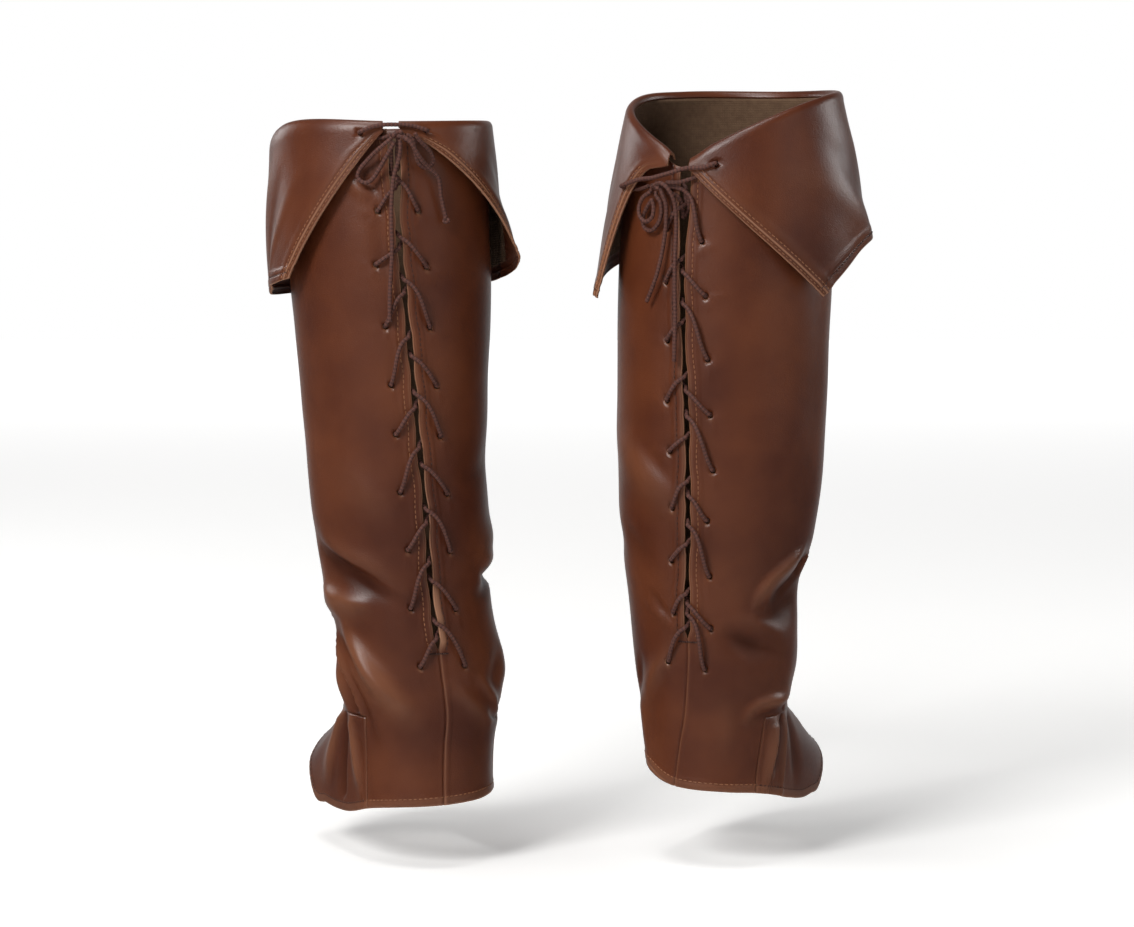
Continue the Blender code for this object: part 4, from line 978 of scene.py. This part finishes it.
def fine_cuff(cover, roll_share, drop_share, fold, from_edge, lift=0.0):
    """Visible side of a cuff's grid, the way out, its creases, how pale it is, height above its hem, cells."""
    front = cuff_point(cover, fold, drop_share[:, None], roll_share[:, None])
    outwards = cuff_frame(cover, *np.broadcast_arrays(fold, drop_share[:, None], roll_share[:, None]))[0]
    drop = along(CUFF_LINES[cover], "drop", fold)
    from_fold = drop_share[:, None] * drop
    above_hem = drop - from_fold
    turned_out = np.clip(roll_share[:, None] * 2 - 1, 0, 1)
    band = (0.5 * step_down(above_hem, CUFF_BAND, 0.5) - 0.45 * bump_at(above_hem - CUFF_STITCH, 0.6)
            - 0.4 * bump_at(above_hem, 0.7))
    hanging = np.clip(from_fold / 30, 0, 1)
    below_fold = np.clip(from_fold / 8, 0, 1)
    creased = crease_height(CUFF_CREASES[cover], fold, from_fold) * hanging
    relief = creased + slack(CUFF_WAVE_SEEDS[cover], fold, from_fold, 0.5, 110.0) * hanging
    relief += band * turned_out + flap_relief(from_edge) * below_fold + lift
    keep = np.ones((len(roll_share) - 1, fold.shape[1] - 1), bool)
    for hole in TIE_HOLES[cover]:
        centre = cuff_point(cover, hole.fold, hole.drop)
        away = front - centre
        distance = np.linalg.norm(away, axis=-1)
        middle = (front[:-1, :-1] + front[1:, 1:]) / 2
        inside = np.linalg.norm(middle - centre, axis=-1) < CUFF_HOLE
        front = centre + away * drawn_to_circle(inside, distance, CUFF_HOLE)[1][..., None]
        keep &= ~inside
        relief += -0.4 * bump_at(distance, 3.2)
    pale = (0.6 * bump_at(from_edge, 0.45) + 0.7 * bump_at(from_edge - FLAP_PLY, 0.35)) * below_fold
    pale = np.clip(pale + 0.45 * bump_at(above_hem, 0.5) * turned_out, 0, 1)
    return front + outwards * relief[..., None], outwards, creased, pale, above_hem, keep


for cover in COVERS:
    roll_share, drop_share, fold, from_edge = cuff_grid(cover)
    outer, outwards, creased, pale, above_hem, keep = fine_cuff(cover, roll_share, drop_share, fold, from_edge)
    back = outer - CLOTH * outwards
    outer[0, :, 2] += SEAM_GAP
    back[0, :, 2] = outer[0, :, 2]
    turned_in = (from_edge[:-1, :-1] < FACING) | (above_hem[1:, :-1] < CUFF_BAND)
    # painted light and shade from the band's creases: paler on their ridges, darker in their troughs; a little
    # paler along the back edges
    painted_fold_shading = np.clip(creased / 6 + 0.12 * step_down(from_edge, CUFF_BAND, 1), -0.5, 0.5)
    cuff = leather_panel(cover, "cuff", "cuff", (outer, back), keep, False, turned_in, pale, painted_fold_shading)

# ---------------------------------------------------------------- lacing and ties
# One round lace a cover, a soft braid of dull plum-brown polyester 3 mm thick. It crosses inside the cover and
# comes out over the slit's edge at each row, then goes once through both flaps of the cuff and is tied in a bow.
LACE_RADIUS = 1.5
LACE_OUT = 2.4         # from the cloth's outside to the middle of a lace that lies on it
LACE_IN = -4.0         # the same for one that runs inside
LACE_OVER_EDGE = 3.3   # from the seam's line to where a strand lies over the slit's edge
KNOT_HALF = (5.2, 3.4, 3.4)    # half of a knot's size across, out and along
BRAID_STEP = 0.5       # between two rings of a lace's mesh
BRAID_SIDES = 16
BRAID_STRANDS = 4      # that turn each way
BRAID_PITCH = 20.0     # along the lace for one turn of a strand
BRAID_RELIEF = 0.12
END_BULGE = 0.35       # of the radius

Stop = namedtuple("Stop", "across lift z")

TIE_INSIDE_RIGHT = {
    "left": [Stop(6.4, 7.4, 18.8), Stop(10.5, 4.6, 17.2), Stop(15, 2.6, 18.4)],
    "right": [Stop(-10.2, 6.6, -9.6), Stop(-3, 5.8, -9.5), Stop(5, 3.4, -7), Stop(11, 2.6, -4)],
}
TIE_ACROSS = {
    "left": [Stop(11, 8.4, 27.6), Stop(2, 8.2, 28.4), Stop(-10, 8.6, 27.6)],
    "right": [Stop(13.6, 9.2, 0.3), Stop(4, 9.4, -0.2), Stop(-7.5, 10.2, -3.9), Stop(-17.5, 11.4, -7),
              Stop(-26, 12.2, -8.2), Stop(-32.7, 12.9, -10.3), Stop(-37.3, 14.2, -12.2)],
}
TIE_INSIDE_LEFT = {
    "left": [Stop(-15, 2.5, 21.3), Stop(-10, 2.8, 20.2), Stop(-5, 4.2, 20.2), Stop(-1.0, 6.3, 21.8)],
    "right": [Stop(-34.2, 5.4, -14.4), Stop(-28, 6, -13.6), Stop(-22.2, 7.4, -12.2)],
}
LACE_ENDS = {
    "left": [
        [Stop(2.4, 4.6, 18.6), Stop(2.2, 3.4, 15.4), Stop(1.95, 0.4, 11), Stop(1.95, -2.2, 6),
         Stop(2.2, -3.6, 0)],
        [Stop(-0.9, 5.3, 17.4), Stop(-1.6, 3.2, 15), Stop(-1.95, 0.4, 11), Stop(-1.95, -2.2, 5),
         Stop(-2.2, -3.6, -1)],
    ],
    "right": [
        [Stop(-9.6, 2.6, -12.4), Stop(-5, 2.3, -12.8), Stop(0.2, 1.4, -15), Stop(1.95, -1.2, -20),
         Stop(2.2, -3.4, -26)],
        [Stop(-11, 2.6, -16.2), Stop(-6.5, 2.4, -17), Stop(-3.4, 2.1, -19), Stop(-1.95, -0.6, -23),
         Stop(-1.95, -2.4, -27), Stop(-2.2, -3.6, -32)],
    ],
}
KNOT_PLACE = {"left": Stop(2.5, 10.4, 21.9), "right": Stop(-16, 8, -12)}


# The braid is spun polyester, so it is nearly matt. Each of its strands lies over and under in turn, which gives
# small dark and light diamonds; the mesh carries their relief, and the colour is painted darker between them as
# painted shade and lighter on their crowns as painted highlight.
def braided_polyester(name):
    braid, shader, add = new_material(name)
    place = add("ShaderNodeTexCoord").outputs["Object"]
    painted_weave_shade = add("ShaderNodeAttribute", attribute_name="strand")
    tone = add("ShaderNodeMix", [(painted_weave_shade.outputs["Fac"], "Factor")], data_type="RGBA",
               A=linear("#2b1512"), B=linear("#683c30"))
    fuzz = add("ShaderNodeTexNoise", [(place, "Vector")], Scale=repeats(15, 10), Detail=3.0)
    bump = add("ShaderNodeBump", [(fuzz.outputs["Fac"], "Height")], Strength=0.5, Distance=0.2 * MM)
    add(shader, [(tone.outputs["Result"], "Base Color"), (bump.outputs["Normal"], "Normal")], Roughness=0.78)
    return braid


BRAID = braided_polyester("braided_polyester_lace")


def braid_tube(name, paths, radius=LACE_RADIUS):
    """A braided round lace along each path of points in mm, every point about a ring's step from the next."""
    points, faces, weave_shade_values = [], [], []
    turn = np.linspace(0, 2 * np.pi, BRAID_SIDES, endpoint=False)
    for path in paths:
        path = np.asarray(path, float)
        ways = np.gradient(path, axis=0)
        ways /= np.linalg.norm(ways, axis=1, keepdims=True)
        lengths = np.concatenate([[0], np.cumsum(np.linalg.norm(np.diff(path, axis=0), axis=1))])
        side = np.cross(ways[0], (0.3, 0.2, 0.93))
        first = len(points)
        for k, (centre, way) in enumerate(zip(path, ways)):
            side = side - way * side.dot(way)
            side /= np.linalg.norm(side)
            other = np.cross(way, side)
            along_braid = 2 * np.pi * lengths[k] / BRAID_PITCH
            weave = np.cos(BRAID_STRANDS * (turn - along_braid)) * np.cos(BRAID_STRANDS * (turn + along_braid))
            around_ring = radius - BRAID_RELIEF + BRAID_RELIEF * weave
            ring = np.outer(around_ring * np.cos(turn), side) + np.outer(around_ring * np.sin(turn), other)
            points.extend((centre + ring).tolist())
            # how high the weave stands here, for painted shade where it dips and painted light where it rises
            weave_shade_values.extend((0.5 + 0.5 * weave).tolist())
        for k in range(len(path) - 1):
            low = first + k * BRAID_SIDES
            for j in range(BRAID_SIDES):
                after = (j + 1) % BRAID_SIDES
                faces.append((low + j, low + after, low + BRAID_SIDES + after, low + BRAID_SIDES + j))
        last = first + (len(path) - 1) * BRAID_SIDES
        for ring_start, end, order in ((first, 0, -1), (last, -1, 1)):
            points.append((path[end] + order * ways[end] * radius * END_BULGE).tolist())
            weave_shade_values.append(0.4)
            for j in range(BRAID_SIDES):
                rim = (ring_start + j, ring_start + (j + 1) % BRAID_SIDES)
                faces.append((*rim[::order], len(points) - 1))
    mesh = bpy.data.meshes.new(name)
    mesh.from_pydata((np.array(points) * MM).tolist(), [], faces)
    mesh.attributes.new("strand", "FLOAT", "POINT").data.foreach_set("value", np.array(weave_shade_values, dtype=np.float32))
    mesh.shade_smooth()
    return new_object(name, mesh, BRAID)


def stops_to_points(cover, stops):
    """Points of a strand from its stops: distance across from the seam, lift off the shaft, height."""
    across, lift, z = np.array(stops, dtype=float).T
    return lifted(cover, angle_at(cover, across, z), z, lift)


def slit_crossing(side, apex):
    """A strand from inside on the far side, out through the slit and over its edge on this side."""
    return [Stop(-side * 3.0, LACE_IN, apex + 6), Stop(-side * 0.5, -2.7, apex + 4),
            Stop(side * 0.5, 1.1, apex + 2), Stop(side * LACE_OVER_EDGE, LACE_OUT + 0.1, apex)]


def hole_crossing(side, out, hole, start):
    """A strand that runs down to a hole over the cloth, goes in and leaves it inside."""
    step = np.array([side * out, hole]) - np.array(start)
    step /= np.linalg.norm(step)
    route = [(-4.0, LACE_OUT), (-0.4, 0.9), (-0.4, -3.0)]
    stops = [Stop(side * out + step[0] * run, lift, hole + step[1] * run) for run, lift in route]
    return stops + [Stop(side * (out - 4.5), LACE_IN, hole - 3.0)]


def laced_strand(cover, first_side):
    """One end of the lace on its way down the back: it changes sides at every row."""
    stops = []
    side = first_side
    for row in LACE_ROWS[cover]:
        if side < 0:
            out, hole, apex = row.left_out, row.left_hole, row.left_apex
        else:
            out, hole, apex = row.right_out, row.right_hole, row.right_apex
        stops += slit_crossing(side, apex)
        stops += hole_crossing(side, out, hole, (side * LACE_OVER_EDGE, apex))
        side = -side
    return stops


def knot_axes(cover):
    """Centre of the knot, and its directions across the leg, out of it and along it."""
    place = KNOT_PLACE[cover]
    stops = [place, place._replace(across=place.across + 1), place._replace(lift=place.lift + 1)]
    centre, side, out = [Vector(point) for point in stops_to_points(cover, stops)]
    across = (side - centre).normalized()
    outwards = (out - centre).normalized()
    return centre, (across, outwards, across.cross(outwards))


def start_at_knot(cover, points, gap=SEAM_GAP):
    """Lets a strand start at the knot and leave it squarely, on its way to its own points."""
    centre, axes = knot_axes(cover)
    way = Vector(points[0]) - centre
    shares = Vector(way.dot(axis) / half for axis, half in zip(axes, KNOT_HALF))
    out = Vector((0, 0, 0))
    for axis, half, share in zip(axes, KNOT_HALF, shares):
        out += axis * (share / half)
    out.normalize()
    start = centre + way / shares.length + out * gap
    return np.vstack([[start, start + out * LACE_RADIUS], points[1:]])


for cover in COVERS:
    first = stops_to_points(cover, LACE_ENDS[cover][0] + laced_strand(cover, 1))
    second = stops_to_points(cover, LACE_ENDS[cover][1] + laced_strand(cover, -1))
    whole = np.vstack([start_at_knot(cover, first), second[::-1]])
    lacing = braid_tube(cover + "_lacing_braid", [smooth_path(whole, BRAID_STEP)])
    through = []
    for hole in TIE_HOLES[cover]:
        outwards = cuff_frame(cover, hole.fold, hole.drop, 1.0)[0]
        middle = cuff_point(cover, hole.fold, hole.drop)
        through.append([middle + outwards * depth for depth in (LACE_IN, -CLOTH / 2, LACE_OUT + 0.2)])
    route = np.vstack([stops_to_points(cover, TIE_INSIDE_RIGHT[cover]), through[0],
                       stops_to_points(cover, TIE_ACROSS[cover]), through[1][::-1],
                       stops_to_points(cover, TIE_INSIDE_LEFT[cover])])
    tie = braid_tube(cover + "_tie_braid", [smooth_path(route, BRAID_STEP)])
    for piece, node in ((lacing, "_lacing"), (tie, "_tie")):
        put_in_place(piece, cover + node)

# ---------------------------------------------------------------- bows
# The two ends of each lace are tied in a small loose bow of two loops and two ends of different lengths. On the
# left cover the shorter end is stopped with an overhand knot, and the longer one hangs down beside the slit.
LOOPS = {
    "left": [
        [Stop(-2.6, 10.2, 19.4), Stop(-10, 7.8, 12), Stop(-17, 5.8, 5), Stop(-21.8, 5, -0.6),
         Stop(-23.6, 4.8, -5.2), Stop(-21.4, 4.8, -8.6), Stop(-17.9, 4.8, -9.4), Stop(-14.4, 4.9, -7),
         Stop(-10.5, 5.4, -1.5), Stop(-5.5, 7.4, 7), Stop(0, 10, 17)],
        [Stop(8.4, 10.6, 21.2), Stop(11, 10.4, 16.6), Stop(12.4, 7.6, 8.4), Stop(15.9, 5.6, 1.7),
         Stop(20.6, 5, 0.1), Stop(24, 5.2, 3.7), Stop(22.5, 7, 9.2), Stop(17.8, 9.4, 14.3),
         Stop(13.4, 10.8, 19.2), Stop(11.8, 11, 22.6)],
    ],
    "right": [
        [Stop(-20.4, 8.6, -15.2), Stop(-25, 8.8, -19.6), Stop(-28, 8.8, -26), Stop(-27.2, 8.8, -32),
         Stop(-22.4, 8.8, -35.6), Stop(-17.8, 8.8, -32.6), Stop(-16.8, 9, -26.5), Stop(-18, 9.8, -20.6)],
        [Stop(-16, 8.4, -16.1), Stop(-13.2, 7.4, -22.5), Stop(-13, 5.8, -29.1), Stop(-15.6, 5, -36.6),
         Stop(-20.9, 5, -41.4), Stop(-26.3, 5, -39.5), Stop(-28, 5, -33.6), Stop(-25.4, 5, -27),
         Stop(-21.5, 4.8, -21.3)],
    ],
}
TAILS = {
    "left": [
        [Stop(3.4, 10.6, 17.2), Stop(2.5, 9.4, 8), Stop(-1, 7.6, -4), Stop(-3.5, 6.8, -20),
         Stop(-4.6, 6.6, -37), Stop(-5.6, 6.6, -54), Stop(-8, 6.4, -71), Stop(-10.2, 6.2, -87),
         Stop(-11.5, 6, -100)],
        [Stop(6.4, 13.6, 19.6), Stop(8, 15, 17), Stop(10.8, 14.6, 11.6), Stop(14, 12.8, 6.2),
         Stop(19, 9.8, 0.5), Stop(25.5, 8.4, -6), Stop(28, 5.8, -18), Stop(31, 5, -33)],
    ],
    "right": [
        [Stop(-10.6, 9.6, -15.6), Stop(-9, 8.4, -23.2), Stop(-8.7, 7.2, -32.9), Stop(-9.4, 6.6, -42.8),
         Stop(-11, 6.4, -54), Stop(-14, 6.4, -67.2), Stop(-18.3, 6, -78.6), Stop(-23.7, 5, -88.4)],
        [Stop(-11.8, 11.2, -10.8), Stop(-9.8, 14.2, -10.4), Stop(-6, 14.6, -12.8), Stop(-3.4, 13, -17.5),
         Stop(-2, 11, -23), Stop(-1.5, 9.4, -30), Stop(-1.5, 8, -38), Stop(-2.1, 7.2, -56.4),
         Stop(-2.3, 7, -76.8), Stop(-2.3, 7, -99.8), Stop(-3.4, 7, -116.3), Stop(-4.3, 6.8, -127)],
    ],
}
STOPPED_TAILS = ("left_lace_tail_2",)    # with an overhand knot at the end
STOPPER_RADIUS = 1.2                     # of the lace in it, pulled tight


def knotted(centre, axes, half, count):
    """A closed run of points along a lace wound up in a knot of the given half sizes."""
    t = np.linspace(0, 2 * np.pi, count, endpoint=False)
    trefoil = [(np.sin(t) + 2 * np.sin(2 * t)) / 3, (np.cos(t) - 2 * np.cos(2 * t)) / 3, -np.sin(3 * t)]
    points = centre + sum(np.outer(way * size, axis) for way, size, axis in zip(trefoil, half, axes))
    return smooth_path(np.vstack([points, points[:1]]), BRAID_STEP)


for cover in COVERS:
    centre, axes = knot_axes(cover)
    across, outwards, up = [np.array(axis) for axis in axes]
    core = [half - LACE_RADIUS for half in KNOT_HALF]
    wound = knotted(np.array(centre), (across, up, outwards), (core[0], core[2] + 0.3, core[1] * 0.75), 40)
    knot = braid_tube(cover + "_knot_braid", [wound], radius=LACE_RADIUS * 0.95)
    put_in_place(knot, cover + "_knot")
    for kind, routes in (("bow_loop", LOOPS[cover]), ("lace_tail", TAILS[cover])):
        for count, stops in enumerate(routes, start=1):
            node = f"{cover}_{kind}_{count}"
            path = smooth_path(start_at_knot(cover, stops_to_points(cover, stops)), BRAID_STEP)
            strand = braid_tube(node + "_braid", [path])
            if node in STOPPED_TAILS:
                way = (path[-1] - path[-4]) / np.linalg.norm(path[-1] - path[-4])
                side = np.cross(way, outwards)
                side /= np.linalg.norm(side)
                wound = knotted(path[-1] + way * 1.2, (side, way, np.cross(side, way)), (1.7, 1.9, 0.9), 30)
                stopper = braid_tube(node + "_stopper", [wound], radius=STOPPER_RADIUS)
                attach(stopper, "root")
            put_in_place(strand, node)

# ---------------------------------------------------------------- stitching
# Every turned edge is held by a lockstitch of copper-brown or dark polyester thread, 7 stitches to the inch: the
# slit, the hems, and both back edges of each cuff, which have two rows. A bar tack closes each slit's lower end.
STITCH_PITCH = 3.5
STITCH_LENGTH = 2.7
STITCH_WIDTH = 0.75
LOWER_PLY_WIDTH = 0.6      # the stitches of a flap's lower ply, half sunk in it
TACK_PITCH = 1.3
TACK_LENGTH = 1.5
TACK_WIDTH = 1.3
TACK_HALF = 6.0            # half of a bar tack's length
TACK_DROP = 1.5            # of a bar tack below the slit's end
THREAD_LIFT = 0.22         # of the middle of a stitch above the cloth
LINE_STEP = 2.0
STITCHED_FROM = 0.04       # share of a cuff's drop at which its rows of stitches start


# Lockstitch thread is spun polyester with a slight silky shine. Its twist is too fine to show, so it only varies
# in tone from stitch to stitch.
def spun_thread(name, shade, light):
    thread, shader, add = new_material(name)
    place = add("ShaderNodeTexCoord").outputs["Object"]
    twist = add("ShaderNodeTexNoise", [(place, "Vector")], Scale=repeats(7, 10), Detail=2.0)
    tone = add("ShaderNodeMix", [(twist.outputs["Fac"], "Factor")], data_type="RGBA",
               A=linear(shade), B=linear(light))
    add(shader, [(tone.outputs["Result"], "Base Color")], Roughness=0.55)
    return thread


COPPER_THREAD = spun_thread("copper_brown_thread", "#75462d", "#9f6b47")
DARK_THREAD = spun_thread("dark_brown_thread", "#2a1713", "#4a2c22")


def stitch_tree(thread):
    """Geometry nodes that lay a stitch at every pitch along the edges of a mesh."""
    tree = bpy.data.node_groups.new("topstitch_in_" + thread.name, "GeometryNodeTree")
    tree.interface.new_socket("Lines", in_out="INPUT", socket_type="NodeSocketGeometry")
    for name in ("Pitch", "Length", "Width"):
        tree.interface.new_socket(name, in_out="INPUT", socket_type="NodeSocketFloat")
    tree.interface.new_socket("Stitches", in_out="OUTPUT", socket_type="NodeSocketGeometry")
    add = partial(add_node, tree)
    given = add("NodeGroupInput").outputs
    curve = add("GeometryNodeMeshToCurve", [(given["Lines"], "Mesh")])
    places = add("GeometryNodeResampleCurve", [(curve.outputs["Curve"], "Curve"), (given["Pitch"], "Length")],
                 mode="LENGTH")
    tangent = add("GeometryNodeInputTangent")
    turned = add("FunctionNodeAlignRotationToVector", [(tangent.outputs["Tangent"], "Vector")], axis="Z")
    ball = add("GeometryNodeMeshUVSphere", Segments=6, Rings=5, Radius=0.5)
    # no two stitches are quite as long
    uneven = add("FunctionNodeRandomValue", [(0.86, 2), (1.06, 3)], data_type="FLOAT", Seed=5)
    length = add("ShaderNodeMath", [(given["Length"], 0), (uneven.outputs[1], 1)], operation="MULTIPLY")
    size = add("ShaderNodeCombineXYZ", [(given["Width"], "X"), (given["Width"], "Y"), (length.outputs[0], "Z")])
    laid = add("GeometryNodeInstanceOnPoints", [
        (places.outputs["Curve"], "Points"), (ball.outputs["Mesh"], "Instance"),
        (turned.outputs["Rotation"], "Rotation"), (size.outputs["Vector"], "Scale")])
    real = add("GeometryNodeRealizeInstances", [(laid.outputs["Instances"], "Geometry")])
    painted = add("GeometryNodeSetMaterial", [(real.outputs["Geometry"], "Geometry")], Material=thread)
    add("NodeGroupOutput", [(painted.outputs["Geometry"], "Stitches")])
    return tree


STITCH_TREES = {thread.name: stitch_tree(thread) for thread in (COPPER_THREAD, DARK_THREAD)}


def sew(name, lines, thread=COPPER_THREAD, pitch=STITCH_PITCH, length=STITCH_LENGTH, width=STITCH_WIDTH):
    """Stitches along lines of points in mm, as one plain mesh."""
    edges, first = [], 0
    for line in lines:
        edges += [(first + k, first + k + 1) for k in range(len(line) - 1)]
        first += len(line)
    mesh = bpy.data.meshes.new(name + "_lines")
    mesh.from_pydata((np.vstack(lines) * MM).tolist(), edges, [])
    guide = new_object(name + "_lines", mesh)
    modifier = guide.modifiers.new("topstitch", "NODES")
    modifier.node_group = STITCH_TREES[thread.name]
    sizes = {"Pitch": pitch * MM, "Length": length * MM, "Width": width * MM}
    for socket in modifier.node_group.interface.items_tree:
        if socket.name in sizes:
            modifier[socket.identifier] = sizes[socket.name]
    bpy.context.view_layer.update()
    stitched = bpy.data.meshes.new_from_object(guide.evaluated_get(bpy.context.evaluated_depsgraph_get()))
    stitched.name = name
    stitched.shade_smooth()
    bpy.data.objects.remove(guide, do_unlink=True)
    stitches = new_object(name, stitched)
    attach(stitches, "root")


def on_shaft(cover, angle, z, from_slit=WELL_CLEAR):
    """Points on the fine cloth of a shaft, a thread's rise above it."""
    angle, z, from_slit = np.broadcast_arrays(np.asarray(angle, float), z, from_slit)
    relief = shaft_relief(cover, angle[None], z[None], from_slit[None])[0][0]
    return surface(cover, angle, z, relief + THREAD_LIFT)


def on_foot(cover, angle, z):
    """Points on the fine cloth of a foot piece, a thread's rise above it."""
    return surface(cover, angle, z, foot_relief(cover, angle, z)[0] + THREAD_LIFT)


def cuff_lines(cover):
    """Lines of stitches on a cuff's fine cloth: on both plies of its back edges, and along its hem."""
    roll_share, drop_share, fold, from_edge = cuff_grid(cover)
    outer = fine_cuff(cover, roll_share, drop_share, fold, from_edge, THREAD_LIFT)[0]
    rows = []
    for distance in (CUFF_STITCH, PLY_STITCH):
        near = int(np.argmin(np.abs(np.array(CUFF_EDGE_STEPS) - distance)))
        beside = outer[drop_share > STITCHED_FROM][:-3]
        rows.append([beside[:, near], beside[:, -1 - near]])
    drop = along(CUFF_LINES[cover], "drop", np.full(1, 180.0))[0]
    low = int(np.argmin(np.abs((1 - DROP_SHARES) * drop - CUFF_STITCH))) + ROLL_ROWS
    return rows[0], rows[1], outer[low, 6:-6]


for cover in COVERS:
    shaft, foot, cuff = cover + "_shaft", cover + "_foot_piece", cover + "_cuff"
    top = float(around(TOP[cover], 0)) - TOP_ROLL
    z = np.arange(top - 2, SLIT_END[cover] + 1, -LINE_STEP)
    beside = angle_at(cover, slit_gap(cover, z) + EDGE_STITCH, z)
    light_side, dark_side = [on_shaft(cover, angle, z, EDGE_STITCH) for angle in (360 - beside, beside)]
    if cover == "right":
        light_side, dark_side = dark_side, light_side
    sew(cover + "_slit_stitches", [light_side])
    sew(cover + "_slit_stitches_dark", [dark_side], thread=DARK_THREAD)
    across = np.linspace(-TACK_HALF, TACK_HALF, 9)
    level = np.full_like(across, SLIT_END[cover] - TACK_DROP)
    tack = on_shaft(cover, angle_at(cover, across, level), level)
    sew(cover + "_bar_tack", [tack], DARK_THREAD, TACK_PITCH, TACK_LENGTH, TACK_WIDTH)
    angle = np.linspace(-SIDE_SEAM + 0.5, SIDE_SEAM - 0.5, 80)
    sew(cover + "_shaft_hem_stitches", [on_shaft(cover, angle, hem_height(cover, angle) + HEM_STITCH)])
    angle = np.linspace(SIDE_SEAM + 0.8, 360 - SIDE_SEAM - 0.8, 200)
    hem_line = on_foot(cover, angle, hem_height(cover, angle) + HEM_STITCH)
    sew(cover + "_foot_hem_stitches", [hem_line], thread=DARK_THREAD)
    flap_lines, lower_ply_lines, hem_line = cuff_lines(cover)
    sew(cover + "_flap_stitches", flap_lines)
    sew(cover + "_flap_edge_stitches", lower_ply_lines, width=LOWER_PLY_WIDTH)
    sew(cover + "_cuff_hem_stitches", [hem_line], thread=DARK_THREAD)
